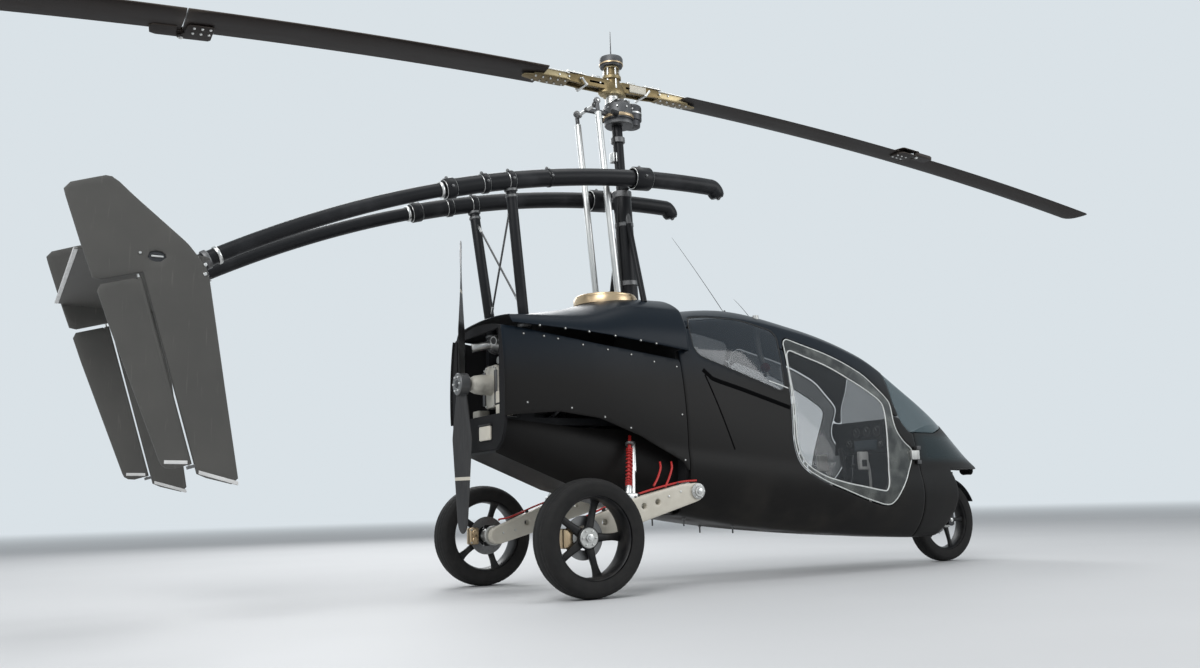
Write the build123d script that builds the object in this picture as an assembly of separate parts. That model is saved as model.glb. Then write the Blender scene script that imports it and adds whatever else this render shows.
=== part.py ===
from build123d import *
import math
import os

# A two-seat gyroplane car, standing on its three wheels with the mast up and the tail out.
# Millimetres. +X to the nose, +Y to its left, +Z up, origin on the ground under the rotor hub.

os.makedirs("parts", exist_ok=True)

# Wheels and their places
REAR_AXLE_X = -624
FRONT_AXLE_X = 2638
REAR_TRACK = 1324
REAR_TYRE_R = 300
REAR_TYRE_W = 159
REAR_RIM_R = 212
FRONT_TYRE_R = 286
FRONT_TYRE_W = 113
FRONT_RIM_R = 205
RIM_WALL = 15
SPOKES = 5
REAR_STUB_R = 15
FRONT_AXLE_R = 10
RUN = 0.06
SEAT_GAP = 0.3

# Body shell
WALL = 22
GLASS_IN = 7
GLASS_T = 8
NOSE_X = 2968
BAY_REAR_X = -960
FIREWALL_X = 168
FIREWALL_T = 34
PANEL_END_X = 184
HULL_START_X = 188

# Every section of the body is a bottom line, two lower arcs, two side arcs and a top arc
# x, z bottom, half width bottom, half width waist, z waist, half width shoulder, z shoulder, z top
BODY = (
    (BAY_REAR_X, 760, 250, 371, 960, 330, 1440, 1490),
    (-450, 570, 260, 392, 860, 335, 1480, 1545),
    (150, 400, 265, 412, 760, 300, 1512, 1605),
    (700, 310, 265, 422, 700, 250, 1572, 1665),
    (1260, 250, 255, 412, 650, 212, 1513, 1590),
    (1800, 208, 228, 372, 620, 185, 1371, 1446),
    (2200, 186, 190, 312, 620, 155, 1166, 1228),
    (2500, 186, 150, 256, 640, 125, 987, 1048),
    (2750, 400, 120, 188, 650, 92, 798, 849),
    (2900, 560, 80, 122, 648, 58, 690, 728),
    (NOSE_X, 600, 30, 46, 632, 20, 652, 664),
)
LOWER_BULGE = 0.17
SIDE_BULGE = 0.045

# Cowl over the engine bay: x, half width, z edge, half width shoulder, z shoulder, z top
COWL = (
    (-905, 380, 1440, 345, 1488, 1508),
    (-450, 396, 1412, 335, 1510, 1588),
    (-80, 402, 1372, 318, 1590, 1684),
    (238, 400, 1332, 318, 1585, 1692),
)
COWL_BULGE = 0.08
COWL_WALL = 14
COWL_DROP = 60

# Side openings, as outlines seen from the side: x, z
DOOR = (
    (1048, 1485), (1003, 1070), (969, 830), (985, 720), (1037, 640), (1190, 564),
    (1515, 458), (1743, 402), (1810, 418), (1990, 615), (2060, 720), (2070, 775),
    (1998, 815), (1942, 880), (1925, 950), (1945, 1060), (1935, 1105), (1828, 1196),
    (1740, 1270), (1561, 1348), (1400, 1400), (1200, 1447),
)
DOOR_LIGHT = (
    (1060, 1405), (1034, 1290), (1022, 1065), (992, 830), (1008, 738), (1060, 662),
    (1200, 592), (1396, 548), (1530, 528), (1696, 500), (1750, 498), (1784, 634),
    (1802, 764), (1831, 897), (1858, 1030), (1848, 1088), (1693, 1175), (1452, 1284),
    (1351, 1321), (1168, 1371),
)
DOOR_GAP = 8
DOOR_HINGE_X = 2092
REAR_WINDOW = ((300, 1328), (962, 1112), (1010, 1512), (732, 1572), (453, 1582), (300, 1560))

# The seams of the roof and of the windscreen, which both run over the top
ROOF = (
    (180, 1900), (180, 1490), (310, 1490), (900, 1420), (1100, 1380), (1300, 1340),
    (1640, 1150), (1860, 1060), (1880, 1000), (2006, 985), (1990, 1065), (1986, 1110),
    (1994, 1210), (1960, 1500), (1960, 1900),
)
GLASS_FRONT = (
    (1960, 1900), (1960, 1500), (1994, 1210), (1986, 1110), (1990, 1065), (2006, 985),
    (2026, 940), (2088, 884), (2400, 888), (2560, 930), (2640, 1005), (2700, 1300),
    (2700, 1900),
)

# Mast and rotor
HUB_Z = 3051
DROOP = 0.0150e-3
MAST_FOOT = (84, 0, 1560)
MAST_TOP = (28, 0, 2800)
MAST_R = 33
MAST_SLEEVE_R = 56
MAST_SLEEVE_TOP_Z = 2372
COLLAR_X = -95
COLLAR_R = 193
COLLAR_Z = (1640, 1698)
ROD_R = 20
ROD_Y = 126
ROD_FOOT = (-72, 1600)
ROD_TOP = (-187, 2890)
BRACE_R = 18
BRACE_FOOT = (57, 238, 1500)
BRACE_TOP = (56, 36, 2225)
BLADE_CHORD = 232
BLADE_T = 26
BLADE_PITCH = 5
BLADE_ROOT = 500
BLADE_FOLD = 2530
BLADE_TIP = 4560
BLADE_GAP = 8
BLADE_NOSE = 14
BLADE_STEPS = 3
FOLD_PIN_R = 8
FOLD_SIDE = 142
FOLD_PLATE_T = 6

# Tail: two bent booms on one circle, seen from the side
BOOM_CENTRE = (454, -3585)
BOOM_R = 5986
BOOM_Y = 257
BOOM_TUBE_R = 50
BOOM_BORE_R = 42
TAIL_TUBE_R = 38
BOOM_FRONT_X = 545
BOOM_ELBOW = (30, 0, -50)
BOOM_OPEN = 78
BOOM_BACK_X = -1235
TAIL_FRONT_X = -1080
TAIL_BACK_X = -2540
POST_R = 30
POST_TOP_X = -843
POST_FOOT = (-745, 214, 1440)

FIN_Y = 656
FIN_T = 30
RUDDER_T = 24
FIN = ((-3072, 1833), (-2889, 1898), (-2798, 1815), (-2572, 1625), (-2490, 1517), (-2406, 998), (-2338, 589),
       (-2650, 672), (-2879, 1273), (-2988, 1578))
HINGE_TOP = (-2768, 1472)
HINGE_FOOT = (-2531, 640)
RUDDER_TOP_REAR_X = -2946
RUDDER_GAP = 8
RUDDER_NOSE_R = 12
RUDDER_PIN_R = 5
RUDDER_TOP_DROP = 8
RUDDER_PIN_LOW = -14
RUDDER_PIN_HIGH = 16
BRACKET_AHEAD = 40
BRACKET_Z = (-18, -4, 12)
STAB = (-3015, -2480)
STAB_Z = 1572
STAB_T = 40
STAB_LUG = (60, 130, 30)
LUG_HALF = 22
TAIL_TUBE_WALL = 4

# Propeller and engine bay
PROP_X = -1032
PROP_Z = 1142
PROP_R = 812
PROP_HUB_R = 62
PROP_HUB_HALF = 30
# radius, chord, pitch and thickness along a propeller blade
PROP_STATIONS = ((50, 62, 50, 24), (300, 122, 40, 16), (PROP_R - 60, 92, 16, 8), (PROP_R, 60, 14, 6))
ENGINE = ((-800, -330), (-180, 180), (925, 1330))
RAIL = 40
RAIL_Y = 200
RAIL_Z = 905

# Rear arms, pivoted low on the body's sides
ARM_PIVOT = (174, 523)
ARM_Y = (436, 492)
PIVOT_R = 38
PIVOT_CAP_R = 30
CAP_OUT = 26
SHOCK_R = 24
SHOCK_ROD_R = 14
SHOCK_EYE = 60
SHOCK_NECK = 70
SHOCK_FOOT = (-262, 462, 505)
SHOCK_HEAD = (-150, 318, 862)

# Front fork
ARCH_R = 310
ARCH_Z = 640
ARCH_T = 12
FORK_GAP = 12
FORK_LEG = (24, 60)
AXLE_BORE_R = 5.5
CROWN_Z = (592, 622)
STEM_R = 22
STEM_SHORT = 20
AXLE_SPACER_R = 22
GUARD_R = 302
GUARD_T = 6
GUARD_HALF = 62
HEAD_TOP_Z = 790

SIDES = (("left", 1), ("right", -1))

# Seams, hinges and small sizes
NOSE_SEAM_X = 2125
JACK_PAD = (980, 278, 35)
JACK_PAD_T = 24
PANEL_TOP = ((BAY_REAR_X, 1432), (-862, 1422), (-371, 1351), (PANEL_END_X, 1283))
PANEL_LOW = ((PANEL_END_X, 625), (134, 695), (-130, 835), (-385, 931), (-632, 965), (BAY_REAR_X, 940))
HINGE_Z = (700, 760)
HINGE_SPLIT = 4
HINGE_BARREL_H = 26
HINGE_R = 10
HINGE_PIN_R = 5
HINGE_LEAF = 60
HINGE_LEAF_DEEP = 32
HINGE_LEAF_PROUD = 4
HINGE_BLOCK_DEEP = 52
HINGE_NECK = 36
HINGE_NECK_T = 12
DOOR_HINGE_Y = 342
RING_T = 15
RING_IN = 20
RING_HOLE = (288, (960, 1420))
# x, z bottom, half width bottom, half width top, z top
BELLY = (
    (BAY_REAR_X + RING_IN + RING_T, 757, 200, 250, 940),
    (-450, 560, 215, 258, 890),
    (FIREWALL_X, 398, 240, 280, 870),
)
BELLY_BULGE = 0.12
BELLY_WALL = 14
BRIDGE = (48, 2390)
BRIDGE_R = 17
CLAMP_R = 57
MAST_CLAMP_R = 70
# x, width and radius of each clamp on the booms
CLAMPS = ((-1000, 34, CLAMP_R), (POST_TOP_X, 34, CLAMP_R), (22, 112, MAST_CLAMP_R))
SOCKET_LENGTH = 60
POST_SEAT = 4
STAY_LOW = 0.12
STAY_HIGH = 0.88
STAY_R = 6
CROSS_HALF = 345
RUDDER_LOW = 42
FOLD_REACH = 150
FOLD_EAR = 20
FOLD_CLEAR = 5
FOLD_SKIN = 1
HEAD_X = 43
ARM_HALF = 14
HEAD_Z = (2800, 2965)
HEAD_R = 92
DRUM_X = 136
DRUM_Z = (2806, 2950)
DRUM_R = 67
NECK_R = 44
SPINDLE_R = 20
SPINDLE_SHORT = 60
HUB_BODY_Z = (2992, 3197)
HUB_R = 62
CAP_R = 76
CAP_H = 55
WHIP_R = 4
WHIP_TOP_Z = 3430
CUFF = (420, 180)
CUFF_Y = 46
CUFF_T = 32
GRIP_Y = 53
GRIP_T = 24
GEARBOX_LONG = 60
GEARBOX_HALF = 95
GEARBOX_NOSE_R = 58
GEARBOX_END_X = -985
PROP_SHAFT_PAST = 34
PROP_SHAFT_R = 22
SILENCER = (-760, 1395)
SILENCER_HALF = 165
SILENCER_R = 55
PIPE_HALF = 22
RIM_WIDE = 0.74
RIM_HUB_R = 46
SPOKE_TURN = 18
SPOKE_T = 22
# Hub faces, spoke middle and spoke width, measured outwards from the middle of the left wheel
REAR_HUB = (-58, 0)
REAR_SPOKE = (-44, 54)
FRONT_HUB = (-50, 50)
FRONT_SPOKE = (0, 36)
TYRE_FOOT = 0.36
TYRE_SHOULDER = 0.72
TYRE_ROUND = 0.125
WHEEL_FREE = 1
ARM_FLANGE_R = 40
STUB_NUT = (24, 11)
# x, z of the cushion, lean of the back in degrees
SEATS = ((530, 420, 20), (1290, 400, 28))
SEAT_FOOT = 220
SEAT_FOOT_HALF = 150
SEAT_LONG = 460
SEAT_Y = (-215, 215)
CUSHION_T = 70
BACK_T = 70
BACK_H = 640
PANEL_X = (1960, 2030)
PANEL_Z = (760, 980)


def save(shape, name):
    export_step(shape, f"parts/{name}.step")


def mirrored(shape):
    return mirror(shape, about=Plane.XZ)


def on_side(shape, sign):
    return shape if sign > 0 else mirrored(shape)


def sided(point, sign):
    """A point of the left side, or its twin on the right one."""
    return (point[0], sign * point[1], point[2])


def rod(start, end, radius):
    a = Vector(*start)
    b = Vector(*end)
    standing = Cylinder(radius, (b - a).length, align=(Align.CENTER, Align.CENTER, Align.MIN))
    return Plane(origin=a, z_dir=b - a) * standing


def across(x, z, y0, y1, radius):
    """A round bar along Y."""
    return rod((x, y0, z), (x, y1, z), radius)


def block(x, y, z):
    size = (x[1] - x[0], y[1] - y[0], z[1] - z[0])
    return Pos((x[0] + x[1]) / 2, (y[0] + y[1]) / 2, (z[0] + z[1]) / 2) * Box(*size)


def side_prism(outline, y0, y1):
    """An outline drawn in X and Z, run from y0 to y1."""
    face = make_face(Polyline([(x, 0, z) for x, z in outline], close=True))
    return extrude(Pos(0, y0, 0) * face, amount=y1 - y0, dir=(0, 1, 0))


def grown(outline, amount):
    """The outline moved outwards by an amount, or inwards by a negative one."""
    area = sum(a[0] * b[1] - b[0] * a[1] for a, b in zip(outline, outline[1:] + outline[:1]))
    turn = 1 if area > 0 else -1
    points = []
    for before, at, after in zip(outline[-1:] + outline[:-1], outline, outline[1:] + outline[:1]):
        in_way = unit(before, at)
        out_way = unit(at, after)
        first = (turn * in_way[1], -turn * in_way[0])
        second = (turn * out_way[1], -turn * out_way[0])
        share = amount / (1 + first[0] * second[0] + first[1] * second[1])
        points.append((at[0] + share * (first[0] + second[0]), at[1] + share * (first[1] + second[1])))
    return tuple(points)


def unit(a, b):
    length = math.dist(a, b)
    return ((b[0] - a[0]) / length, (b[1] - a[1]) / length)


def bulged(a, b, share):
    """The middle of an arc from a to b that stands out from its chord by a share of its length."""
    across_y, up = b[0] - a[0], b[1] - a[1]
    return ((a[0] + b[0]) / 2 + up * share, (a[1] + b[1]) / 2 - across_y * share)


def closed_section(points, bulges):
    """The open outline of a section square to X. points run up the left side; each gap has its bulge."""
    left = list(points)
    right = [(-y, z) for y, z in points]
    lines = Line(right[0], left[0])
    for i, share in enumerate(bulges):
        lines += ThreePointArc(left[i], bulged(left[i], left[i + 1], share), left[i + 1])
        lines += ThreePointArc(right[i], bulged(right[i], right[i + 1], -share), right[i + 1])
    return lines, left, right


def section_plane(x):
    return Plane(origin=(x, 0, 0), x_dir=(0, 1, 0), z_dir=(1, 0, 0))


def body_section(row, inset):
    x, zb, wb, w, zw, ws, zs, zt = row
    foot = (wb - 0.6 * inset, zb + inset)
    waist = (w - inset, zw)
    shoulder = (ws - 0.75 * inset, zs - 0.6 * inset)
    lines, left, right = closed_section((foot, waist, shoulder), (LOWER_BULGE, SIDE_BULGE))
    lines += ThreePointArc(left[-1], (0, zt - inset), right[-1])
    return section_plane(x) * make_face(lines)


def body_solid(inset, past_rear=0):
    rows = [list(row) for row in BODY]
    rows[-1][0] -= inset
    sections = [body_section(row, inset) for row in rows]
    if past_rear:
        sections.insert(0, Pos(-past_rear, 0, 0) * sections[0])
    return loft(sections, ruled=True)


def cowl_section(row, inset, drop):
    x, w, ze, ws, zs, zt = row
    edge = (w - inset, ze - drop)
    shoulder = (ws - 0.8 * inset, zs - 0.5 * inset)
    lines, left, right = closed_section((edge, shoulder), (COWL_BULGE,))
    lines += ThreePointArc(left[-1], (0, zt - inset), right[-1])
    return section_plane(x) * make_face(lines)


def cowl_solid(inset, drop, past=0):
    rows = [list(row) for row in COWL]
    rows[0][0] -= past
    rows[-1][0] += past
    return loft([cowl_section(row, inset, drop) for row in rows], ruled=True)


outer = body_solid(0)
inner = body_solid(WALL, past_rear=10)
fitted = body_solid(WALL + SEAT_GAP)
shell = outer - inner
glass_shell = body_solid(GLASS_IN) - body_solid(GLASS_IN + GLASS_T, past_rear=10)
cowl_outer = cowl_solid(0, 0)
cowl_inner = cowl_solid(COWL_WALL, COWL_DROP, past=5)
cowl_fitted = cowl_solid(COWL_WALL + SEAT_GAP, COWL_DROP)


def slab(x0, x1, z0=0, z1=2300):
    return block((x0, x1), (-700, 700), (z0, z1))


def arch_cutter(extra=0):
    return Pos(FRONT_AXLE_X, 0, 0) * Cylinder(ARCH_R + extra, ARCH_Z + extra,
                                              align=(Align.CENTER, Align.CENTER, Align.MIN))


def body_panels():
    """Hull, roof and nose, with the windscreen and rear windows, all cut from one shell."""
    door_hole = side_prism(grown(DOOR, DOOR_GAP), -700, 700)
    window_hole = side_prism(REAR_WINDOW, -700, 700)
    roof_zone = side_prism(ROOF, -700, 700)
    screen_zone = side_prism(GLASS_FRONT, -700, 700)
    front = (shell & slab(HULL_START_X, NOSE_X + 50)) - door_hole - window_hole - screen_zone
    save(front & roof_zone, "roof")
    rest = front - roof_zone - arch_cutter()
    hull = rest & slab(HULL_START_X, NOSE_SEAM_X)
    for _, sign in SIDES:
        hull += on_side(hull_hinge(), sign)
    jack_x, jack_z, jack_r = JACK_PAD
    hull += rod((jack_x, 0, jack_z), (jack_x, 0, jack_z + JACK_PAD_T), jack_r)
    save(hull, "hull")
    save(rest & slab(NOSE_SEAM_X, NOSE_X + 50), "nose")
    save(glass_shell & screen_zone, "windscreen")
    save(glass_shell & window_hole, "rear_windows")


def hull_hinge():
    """Two barrels with the door's pin, on the body's skin."""
    low, high = HINGE_Z[0] - HINGE_SPLIT, HINGE_Z[1] + HINGE_SPLIT
    shape = hinge_bar(low - HINGE_BARREL_H, high + HINGE_BARREL_H, HINGE_PIN_R)
    for z0, z1 in ((low - HINGE_BARREL_H, low), (high, high + HINGE_BARREL_H)):
        shape += hinge_bar(z0, z1, HINGE_R)
        shape += block((DOOR_HINGE_X, NOSE_SEAM_X), (DOOR_HINGE_Y - HINGE_BLOCK_DEEP, DOOR_HINGE_Y), (z0, z1))
    return shape


def hinge_bar(z0, z1, radius):
    return rod((DOOR_HINGE_X, DOOR_HINGE_Y, z0), (DOOR_HINGE_X, DOOR_HINGE_Y, z1), radius)


def doors():
    """A clear door on each side: a moulded rim with its hinge leaf, and the light inside it."""
    leaf_y = (DOOR_HINGE_Y - HINGE_LEAF_DEEP, DOOR_HINGE_Y + HINGE_LEAF_PROUD)
    leaf = block((DOOR_HINGE_X - HINGE_LEAF, DOOR_HINGE_X), leaf_y, HINGE_Z)
    leaf -= block((DOOR_HINGE_X - HINGE_NECK, DOOR_HINGE_X + 1), (0, leaf_y[1] - HINGE_NECK_T), (0, 2000))
    for name, sign in SIDES:
        zone = on_side(side_prism(DOOR, 0, 700), sign)
        light = on_side(side_prism(DOOR_LIGHT, 0, 700), sign)
        barrel = hinge_bar(HINGE_Z[0], HINGE_Z[1], HINGE_R)
        bore = hinge_bar(0, 2000, HINGE_PIN_R + RUN)
        frame = (shell & zone) + on_side(barrel + leaf, sign) - light - on_side(bore, sign)
        save(frame, f"door_{name}")
        save(glass_shell & light, f"door_window_{name}")


def engine_panels():
    outline = PANEL_TOP + PANEL_LOW
    for name, sign in SIDES:
        save(shell & on_side(side_prism(outline, 0, 700), sign), f"engine_panel_{name}")


def bulkheads():
    edge = tuple((row[0], row[2]) for row in COWL)
    under = side_prism(((-1200, 0), (-1200, edge[0][1])) + edge + ((edge[-1][0] + 50, edge[-1][1]), (400, 0)),
                       -700, 700)
    upper = cowl_fitted - under
    wall = fitted & slab(FIREWALL_X, FIREWALL_X + FIREWALL_T)
    save(wall + (upper & slab(FIREWALL_X, PANEL_END_X)), "firewall")
    ring = (fitted + upper) & slab(BAY_REAR_X + RING_IN, BAY_REAR_X + RING_IN + RING_T)
    hole = block((BAY_REAR_X, BAY_REAR_X + 100), (-RING_HOLE[0], RING_HOLE[0]), RING_HOLE[1])
    save(ring - hole, "rear_ring")


def belly_section(row, inset):
    x, zb, wb, w, zt = row
    foot = (wb - 0.6 * inset, zb + inset)
    edge = (w - inset, zt + 2 * inset)
    lines, left, right = closed_section((foot, edge), (BELLY_BULGE,))
    lines += Line(left[-1], right[-1])
    return section_plane(x) * make_face(lines)


def rear_belly():
    outside = loft([belly_section(row, 0) for row in BELLY], ruled=True)
    inside = loft([belly_section(row, BELLY_WALL) for row in BELLY], ruled=True)
    save(outside - inside, "rear_belly")


def cowl():
    front = cowl_outer & slab(COWL[-1][0] - COWL_WALL, COWL[-1][0])
    shape = (cowl_outer - cowl_inner) + front - body_solid(-SEAT_GAP)
    shape -= rod((COLLAR_X, 0, 1400), (COLLAR_X, 0, 2000), COLLAR_R + SEAT_GAP)
    shape -= mast_bar(SEAT_GAP)
    for _, sign in SIDES:
        shape -= rod(post_point(sign, 0), post_point(sign, 1), POST_R + SEAT_GAP)
    save(shape, "mast_cowl")


def collar():
    shape = rod((COLLAR_X, 0, COLLAR_Z[0]), (COLLAR_X, 0, COLLAR_Z[1]), COLLAR_R) - mast_bar(SEAT_GAP)
    for _, sign in SIDES:
        shape -= push_rod(sign, SEAT_GAP)
    save(shape, "mast_collar")


def mast_bar(extra=0):
    foot = Vector(*MAST_FOOT)
    top = Vector(*MAST_TOP)
    way = (top - foot).normalized()
    low = foot - way * 40
    top += way * 40
    step = foot + way * (MAST_SLEEVE_TOP_Z - MAST_FOOT[2])
    shape = rod(low, top, MAST_R + extra) + rod(low, step, MAST_SLEEVE_R + extra)
    shape -= block((-300, 400), (-200, 200), (0, MAST_FOOT[2] - extra))
    return shape - block((-300, 400), (-200, 200), (HEAD_Z[0], HEAD_Z[0] + 300))


def mast():
    shape = mast_bar()
    for _, sign in SIDES:
        brace = rod(sided(BRACE_FOOT, sign), sided(BRACE_TOP, sign), BRACE_R)
        shape += brace - cowl_outer
    bridge = across(BRIDGE[0], BRIDGE[1], -BOOM_Y, BOOM_Y, BRIDGE_R)
    for _, sign in SIDES:
        bridge -= boom_arc(sign, BOOM_FRONT_X, BOOM_BACK_X, MAST_CLAMP_R + SEAT_GAP)
    save(shape + bridge, "mast")
    mount = block((MAST_FOOT[0] - 70, FIREWALL_X), (-75, 75), (MAST_FOOT[2] - 80, MAST_FOOT[2]))
    save(mount, "mast_mount")


def push_rod(sign, extra=0):
    foot = (ROD_FOOT[0], sign * ROD_Y, ROD_FOOT[1])
    return rod(foot, (ROD_TOP[0], sign * ROD_Y, ROD_TOP[1]), ROD_R + extra)


def push_rods():
    save(Compound([push_rod(1), push_rod(-1)]), "push_rods")


def boom_point(x, side=0):
    """A point on the booms' circle."""
    return (x, side * BOOM_Y, BOOM_CENTRE[1] + math.sqrt(BOOM_R ** 2 - (x - BOOM_CENTRE[0]) ** 2))


def boom_angle(x):
    return math.degrees(math.asin((x - BOOM_CENTRE[0]) / BOOM_R))


def boom_arc(sign, x0, x1, radius, bore=0):
    """A tube along the booms' circle, from x0 back to x1."""
    hub = (BOOM_CENTRE[0], sign * BOOM_Y, BOOM_CENTRE[1])
    start = boom_angle(x1)
    turn = boom_angle(x0) - start
    ring = Circle(radius)
    if bore:
        ring -= Circle(bore)
    ring = Plane(origin=(hub[0], hub[1], hub[2] + BOOM_R), x_dir=(0, 1, 0), z_dir=(1, 0, 0)) * ring
    axis = Axis(hub, (0, 1, 0))
    return revolve(ring.rotate(axis, start), axis, revolution_arc=turn)


def booms():
    tubes = []
    for _, sign in SIDES:
        tube = boom_arc(sign, BOOM_FRONT_X, BOOM_BACK_X, BOOM_TUBE_R, BOOM_BORE_R)
        tube += boom_arc(sign, BOOM_BACK_X + SOCKET_LENGTH, BOOM_BACK_X, CLAMP_R, TAIL_TUBE_R + SEAT_GAP)
        for x, width, radius in CLAMPS:
            tube += boom_arc(sign, x + width / 2, x - width / 2, radius, BOOM_BORE_R)
        nose = Vector(*boom_point(BOOM_FRONT_X, sign))
        bend = nose + Vector(*BOOM_ELBOW)
        tube += rod(nose, bend, BOOM_TUBE_R)
        for end in (nose, bend):
            tube += Pos(*end) * Sphere(BOOM_TUBE_R)
        tube -= boom_arc(sign, BOOM_FRONT_X - 2, BOOM_FRONT_X - BOOM_OPEN, BOOM_BORE_R)
        tubes.append(tube)
    save(Compound(tubes), "boom_tubes")


def post_point(sign, end):
    top = boom_point(POST_TOP_X)
    if end:
        return (top[0], sign * BOOM_Y, top[2])
    return (POST_FOOT[0], sign * POST_FOOT[1], POST_FOOT[2])


def between(a, b, share):
    return tuple(i + (j - i) * share for i, j in zip(a, b))


def boom_posts():
    post = rod(post_point(1, 0), post_point(1, 1), POST_R)
    post -= block((-1000, -600), (-400, 400), (0, POST_FOOT[2] + POST_SEAT))
    post -= boom_arc(1, BOOM_FRONT_X, BOOM_BACK_X, CLAMP_R + SEAT_GAP)
    low = between(post_point(1, 0), post_point(1, 1), STAY_LOW)
    high = between(post_point(-1, 0), post_point(-1, 1), STAY_HIGH)
    stay = rod(low, high, STAY_R)
    save(post + mirrored(post) + stay + mirrored(stay), "boom_posts")


def bay_frame():
    """Rails, uprights under the posts and the shocks' cross tube, between ring and firewall."""
    front, back = FIREWALL_X, BAY_REAR_X + RING_IN + RING_T
    y = (RAIL_Y - RAIL / 2, RAIL_Y + RAIL / 2)
    rail = block((back, front), y, (RAIL_Z, RAIL_Z + RAIL))
    rail += block((POST_FOOT[0] - RAIL, POST_FOOT[0] + RAIL), y, (RAIL_Z, POST_FOOT[2] + POST_SEAT))
    cross = across(SHOCK_HEAD[0], RAIL_Z + RAIL / 2, -CROSS_HALF, CROSS_HALF, RAIL / 2)
    save(rail + mirrored(rail) + cross, "bay_frame")


def tail():
    tubes = []
    for _, sign in SIDES:
        tubes.append(boom_arc(sign, TAIL_FRONT_X, TAIL_BACK_X, TAIL_TUBE_R, TAIL_TUBE_R - TAIL_TUBE_WALL))
    save(Compound(tubes), "tail_tubes")
    stab = block(STAB, (-FIN_Y + FIN_T / 2, FIN_Y - FIN_T / 2), (STAB_Z - STAB_T / 2, STAB_Z + STAB_T / 2))
    stab = fillet(stab.edges().filter_by(Axis.Y), STAB_T / 2 - 1)
    for _, sign in SIDES:
        y = sign * BOOM_Y
        lug_z = (STAB_Z, boom_point(TAIL_BACK_X)[2] + STAB_LUG[2])
        lug_x = (TAIL_BACK_X - STAB_LUG[0], TAIL_BACK_X + STAB_LUG[1])
        stab += block(lug_x, (y - LUG_HALF, y + LUG_HALF), lug_z)
    for _, sign in SIDES:
        stab -= boom_arc(sign, TAIL_FRONT_X, TAIL_BACK_X, TAIL_TUBE_R + SEAT_GAP)
    save(stab, "stabiliser")


def rudder_outline():
    return (HINGE_TOP, (RUDDER_TOP_REAR_X, rudder_top_z()), FIN[8], FIN[7], HINGE_FOOT)


def rudder_top_z():
    return HINGE_TOP[1] - RUDDER_TOP_DROP


def fins():
    """Each fin with its rudder, cut from one plate and hinged on a slanted pin."""
    way = unit(HINGE_FOOT, HINGE_TOP)
    ahead = (way[1], -way[0])
    reach = RUDDER_NOSE_R + RUDDER_GAP
    low = along(HINGE_FOOT, way, RUDDER_LOW)
    high = along(HINGE_TOP, way, -RUDDER_GAP)
    behind = RUDDER_TOP_REAR_X - 60
    cut = (along(along(HINGE_TOP, ahead, reach), way, RUDDER_GAP), (behind, rudder_top_z() + RUDDER_GAP + 3),
           (behind, 500), along(along(HINGE_FOOT, ahead, reach), way, -60))
    fin = fin_plate(FIN, FIN_T) - fin_plate(cut, 100)
    rudder = fin_plate(rudder_outline(), RUDDER_T) - fin_plate(hinge_zone(low, way, -80), 100)
    rudder -= fin_plate(hinge_zone(high, way, 80), 100)
    rudder += fin_rod(low, high, RUDDER_NOSE_R)
    pin_low = along(low, way, RUDDER_PIN_LOW)
    pin_high = along(high, way, RUDDER_PIN_HIGH)
    rudder -= fin_rod(pin_low, pin_high, RUDDER_PIN_R + RUN)
    fin += fin_rod(pin_low, pin_high, RUDDER_PIN_R) + fin_plate(hinge_bracket(low, way, ahead), RUDDER_T)
    for name, sign in SIDES:
        save(on_side(fin, sign), f"fin_{name}")
        save(on_side(rudder, sign), f"rudder_{name}")


def fin_plate(outline, thickness):
    return side_prism(outline, FIN_Y - thickness / 2, FIN_Y + thickness / 2)


def fin_rod(low, high, radius):
    return rod((low[0], FIN_Y, low[1]), (high[0], FIN_Y, high[1]), radius)


def along(point, way, amount):
    return (point[0] + way[0] * amount, point[1] + way[1] * amount)


def hinge_zone(at, way, depth):
    """A strip across the hinge line, to end the rudder square to its pin."""
    side = (way[1], -way[0])
    ahead, behind = along(at, side, 60), along(at, side, -40)
    return (ahead, behind, along(behind, way, depth), along(ahead, way, depth))


def hinge_bracket(low, way, ahead):
    """The fin's foot under the rudder's lower end."""
    bottom, shelf, top = BRACKET_Z
    inner = RUDDER_NOSE_R + RUDDER_GAP - 2
    rear = -RUDDER_NOSE_R
    corners = ((BRACKET_AHEAD, top), (inner, top), (inner, shelf), (rear, shelf), (rear, bottom),
               (BRACKET_AHEAD, bottom))
    return tuple(along(along(low, ahead, side), way, up) for side, up in corners)


def blade_point(a):
    return (a, HUB_Z - DROOP * a * a)


def blade_frame(a, side=0):
    """A frame at a station of the front blade: x along it, z out of its upper face, leading edge up."""
    x, z = blade_point(a)
    slope = math.degrees(math.atan(2 * DROOP * a))
    return Plane(Pos(x, 0, z) * Rot(0, slope, 0) * Rot(BLADE_PITCH, 0, 0) * Pos(0, side, 0))


def blade_section(a):
    half, t = BLADE_CHORD / 2, BLADE_T
    nose = half - BLADE_NOSE
    lines = ThreePointArc((nose, -0.4 * t), (half, 0), (nose, 0.42 * t))
    lines += ThreePointArc((nose, 0.42 * t), (half * 0.25, 0.5 * t), (-half, 0.06 * t))
    lines += Line((-half, 0.06 * t), (-half, -0.04 * t))
    lines += ThreePointArc((-half, -0.04 * t), (half * 0.25, -0.46 * t), (nose, -0.4 * t))
    frame = blade_frame(a)
    return Plane(origin=frame.origin, x_dir=frame.y_dir, z_dir=frame.x_dir) * make_face(lines)


def blade_piece(a0, a1):
    return loft([blade_section(a0 + (a1 - a0) * i / BLADE_STEPS) for i in range(BLADE_STEPS + 1)], ruled=True)


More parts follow.
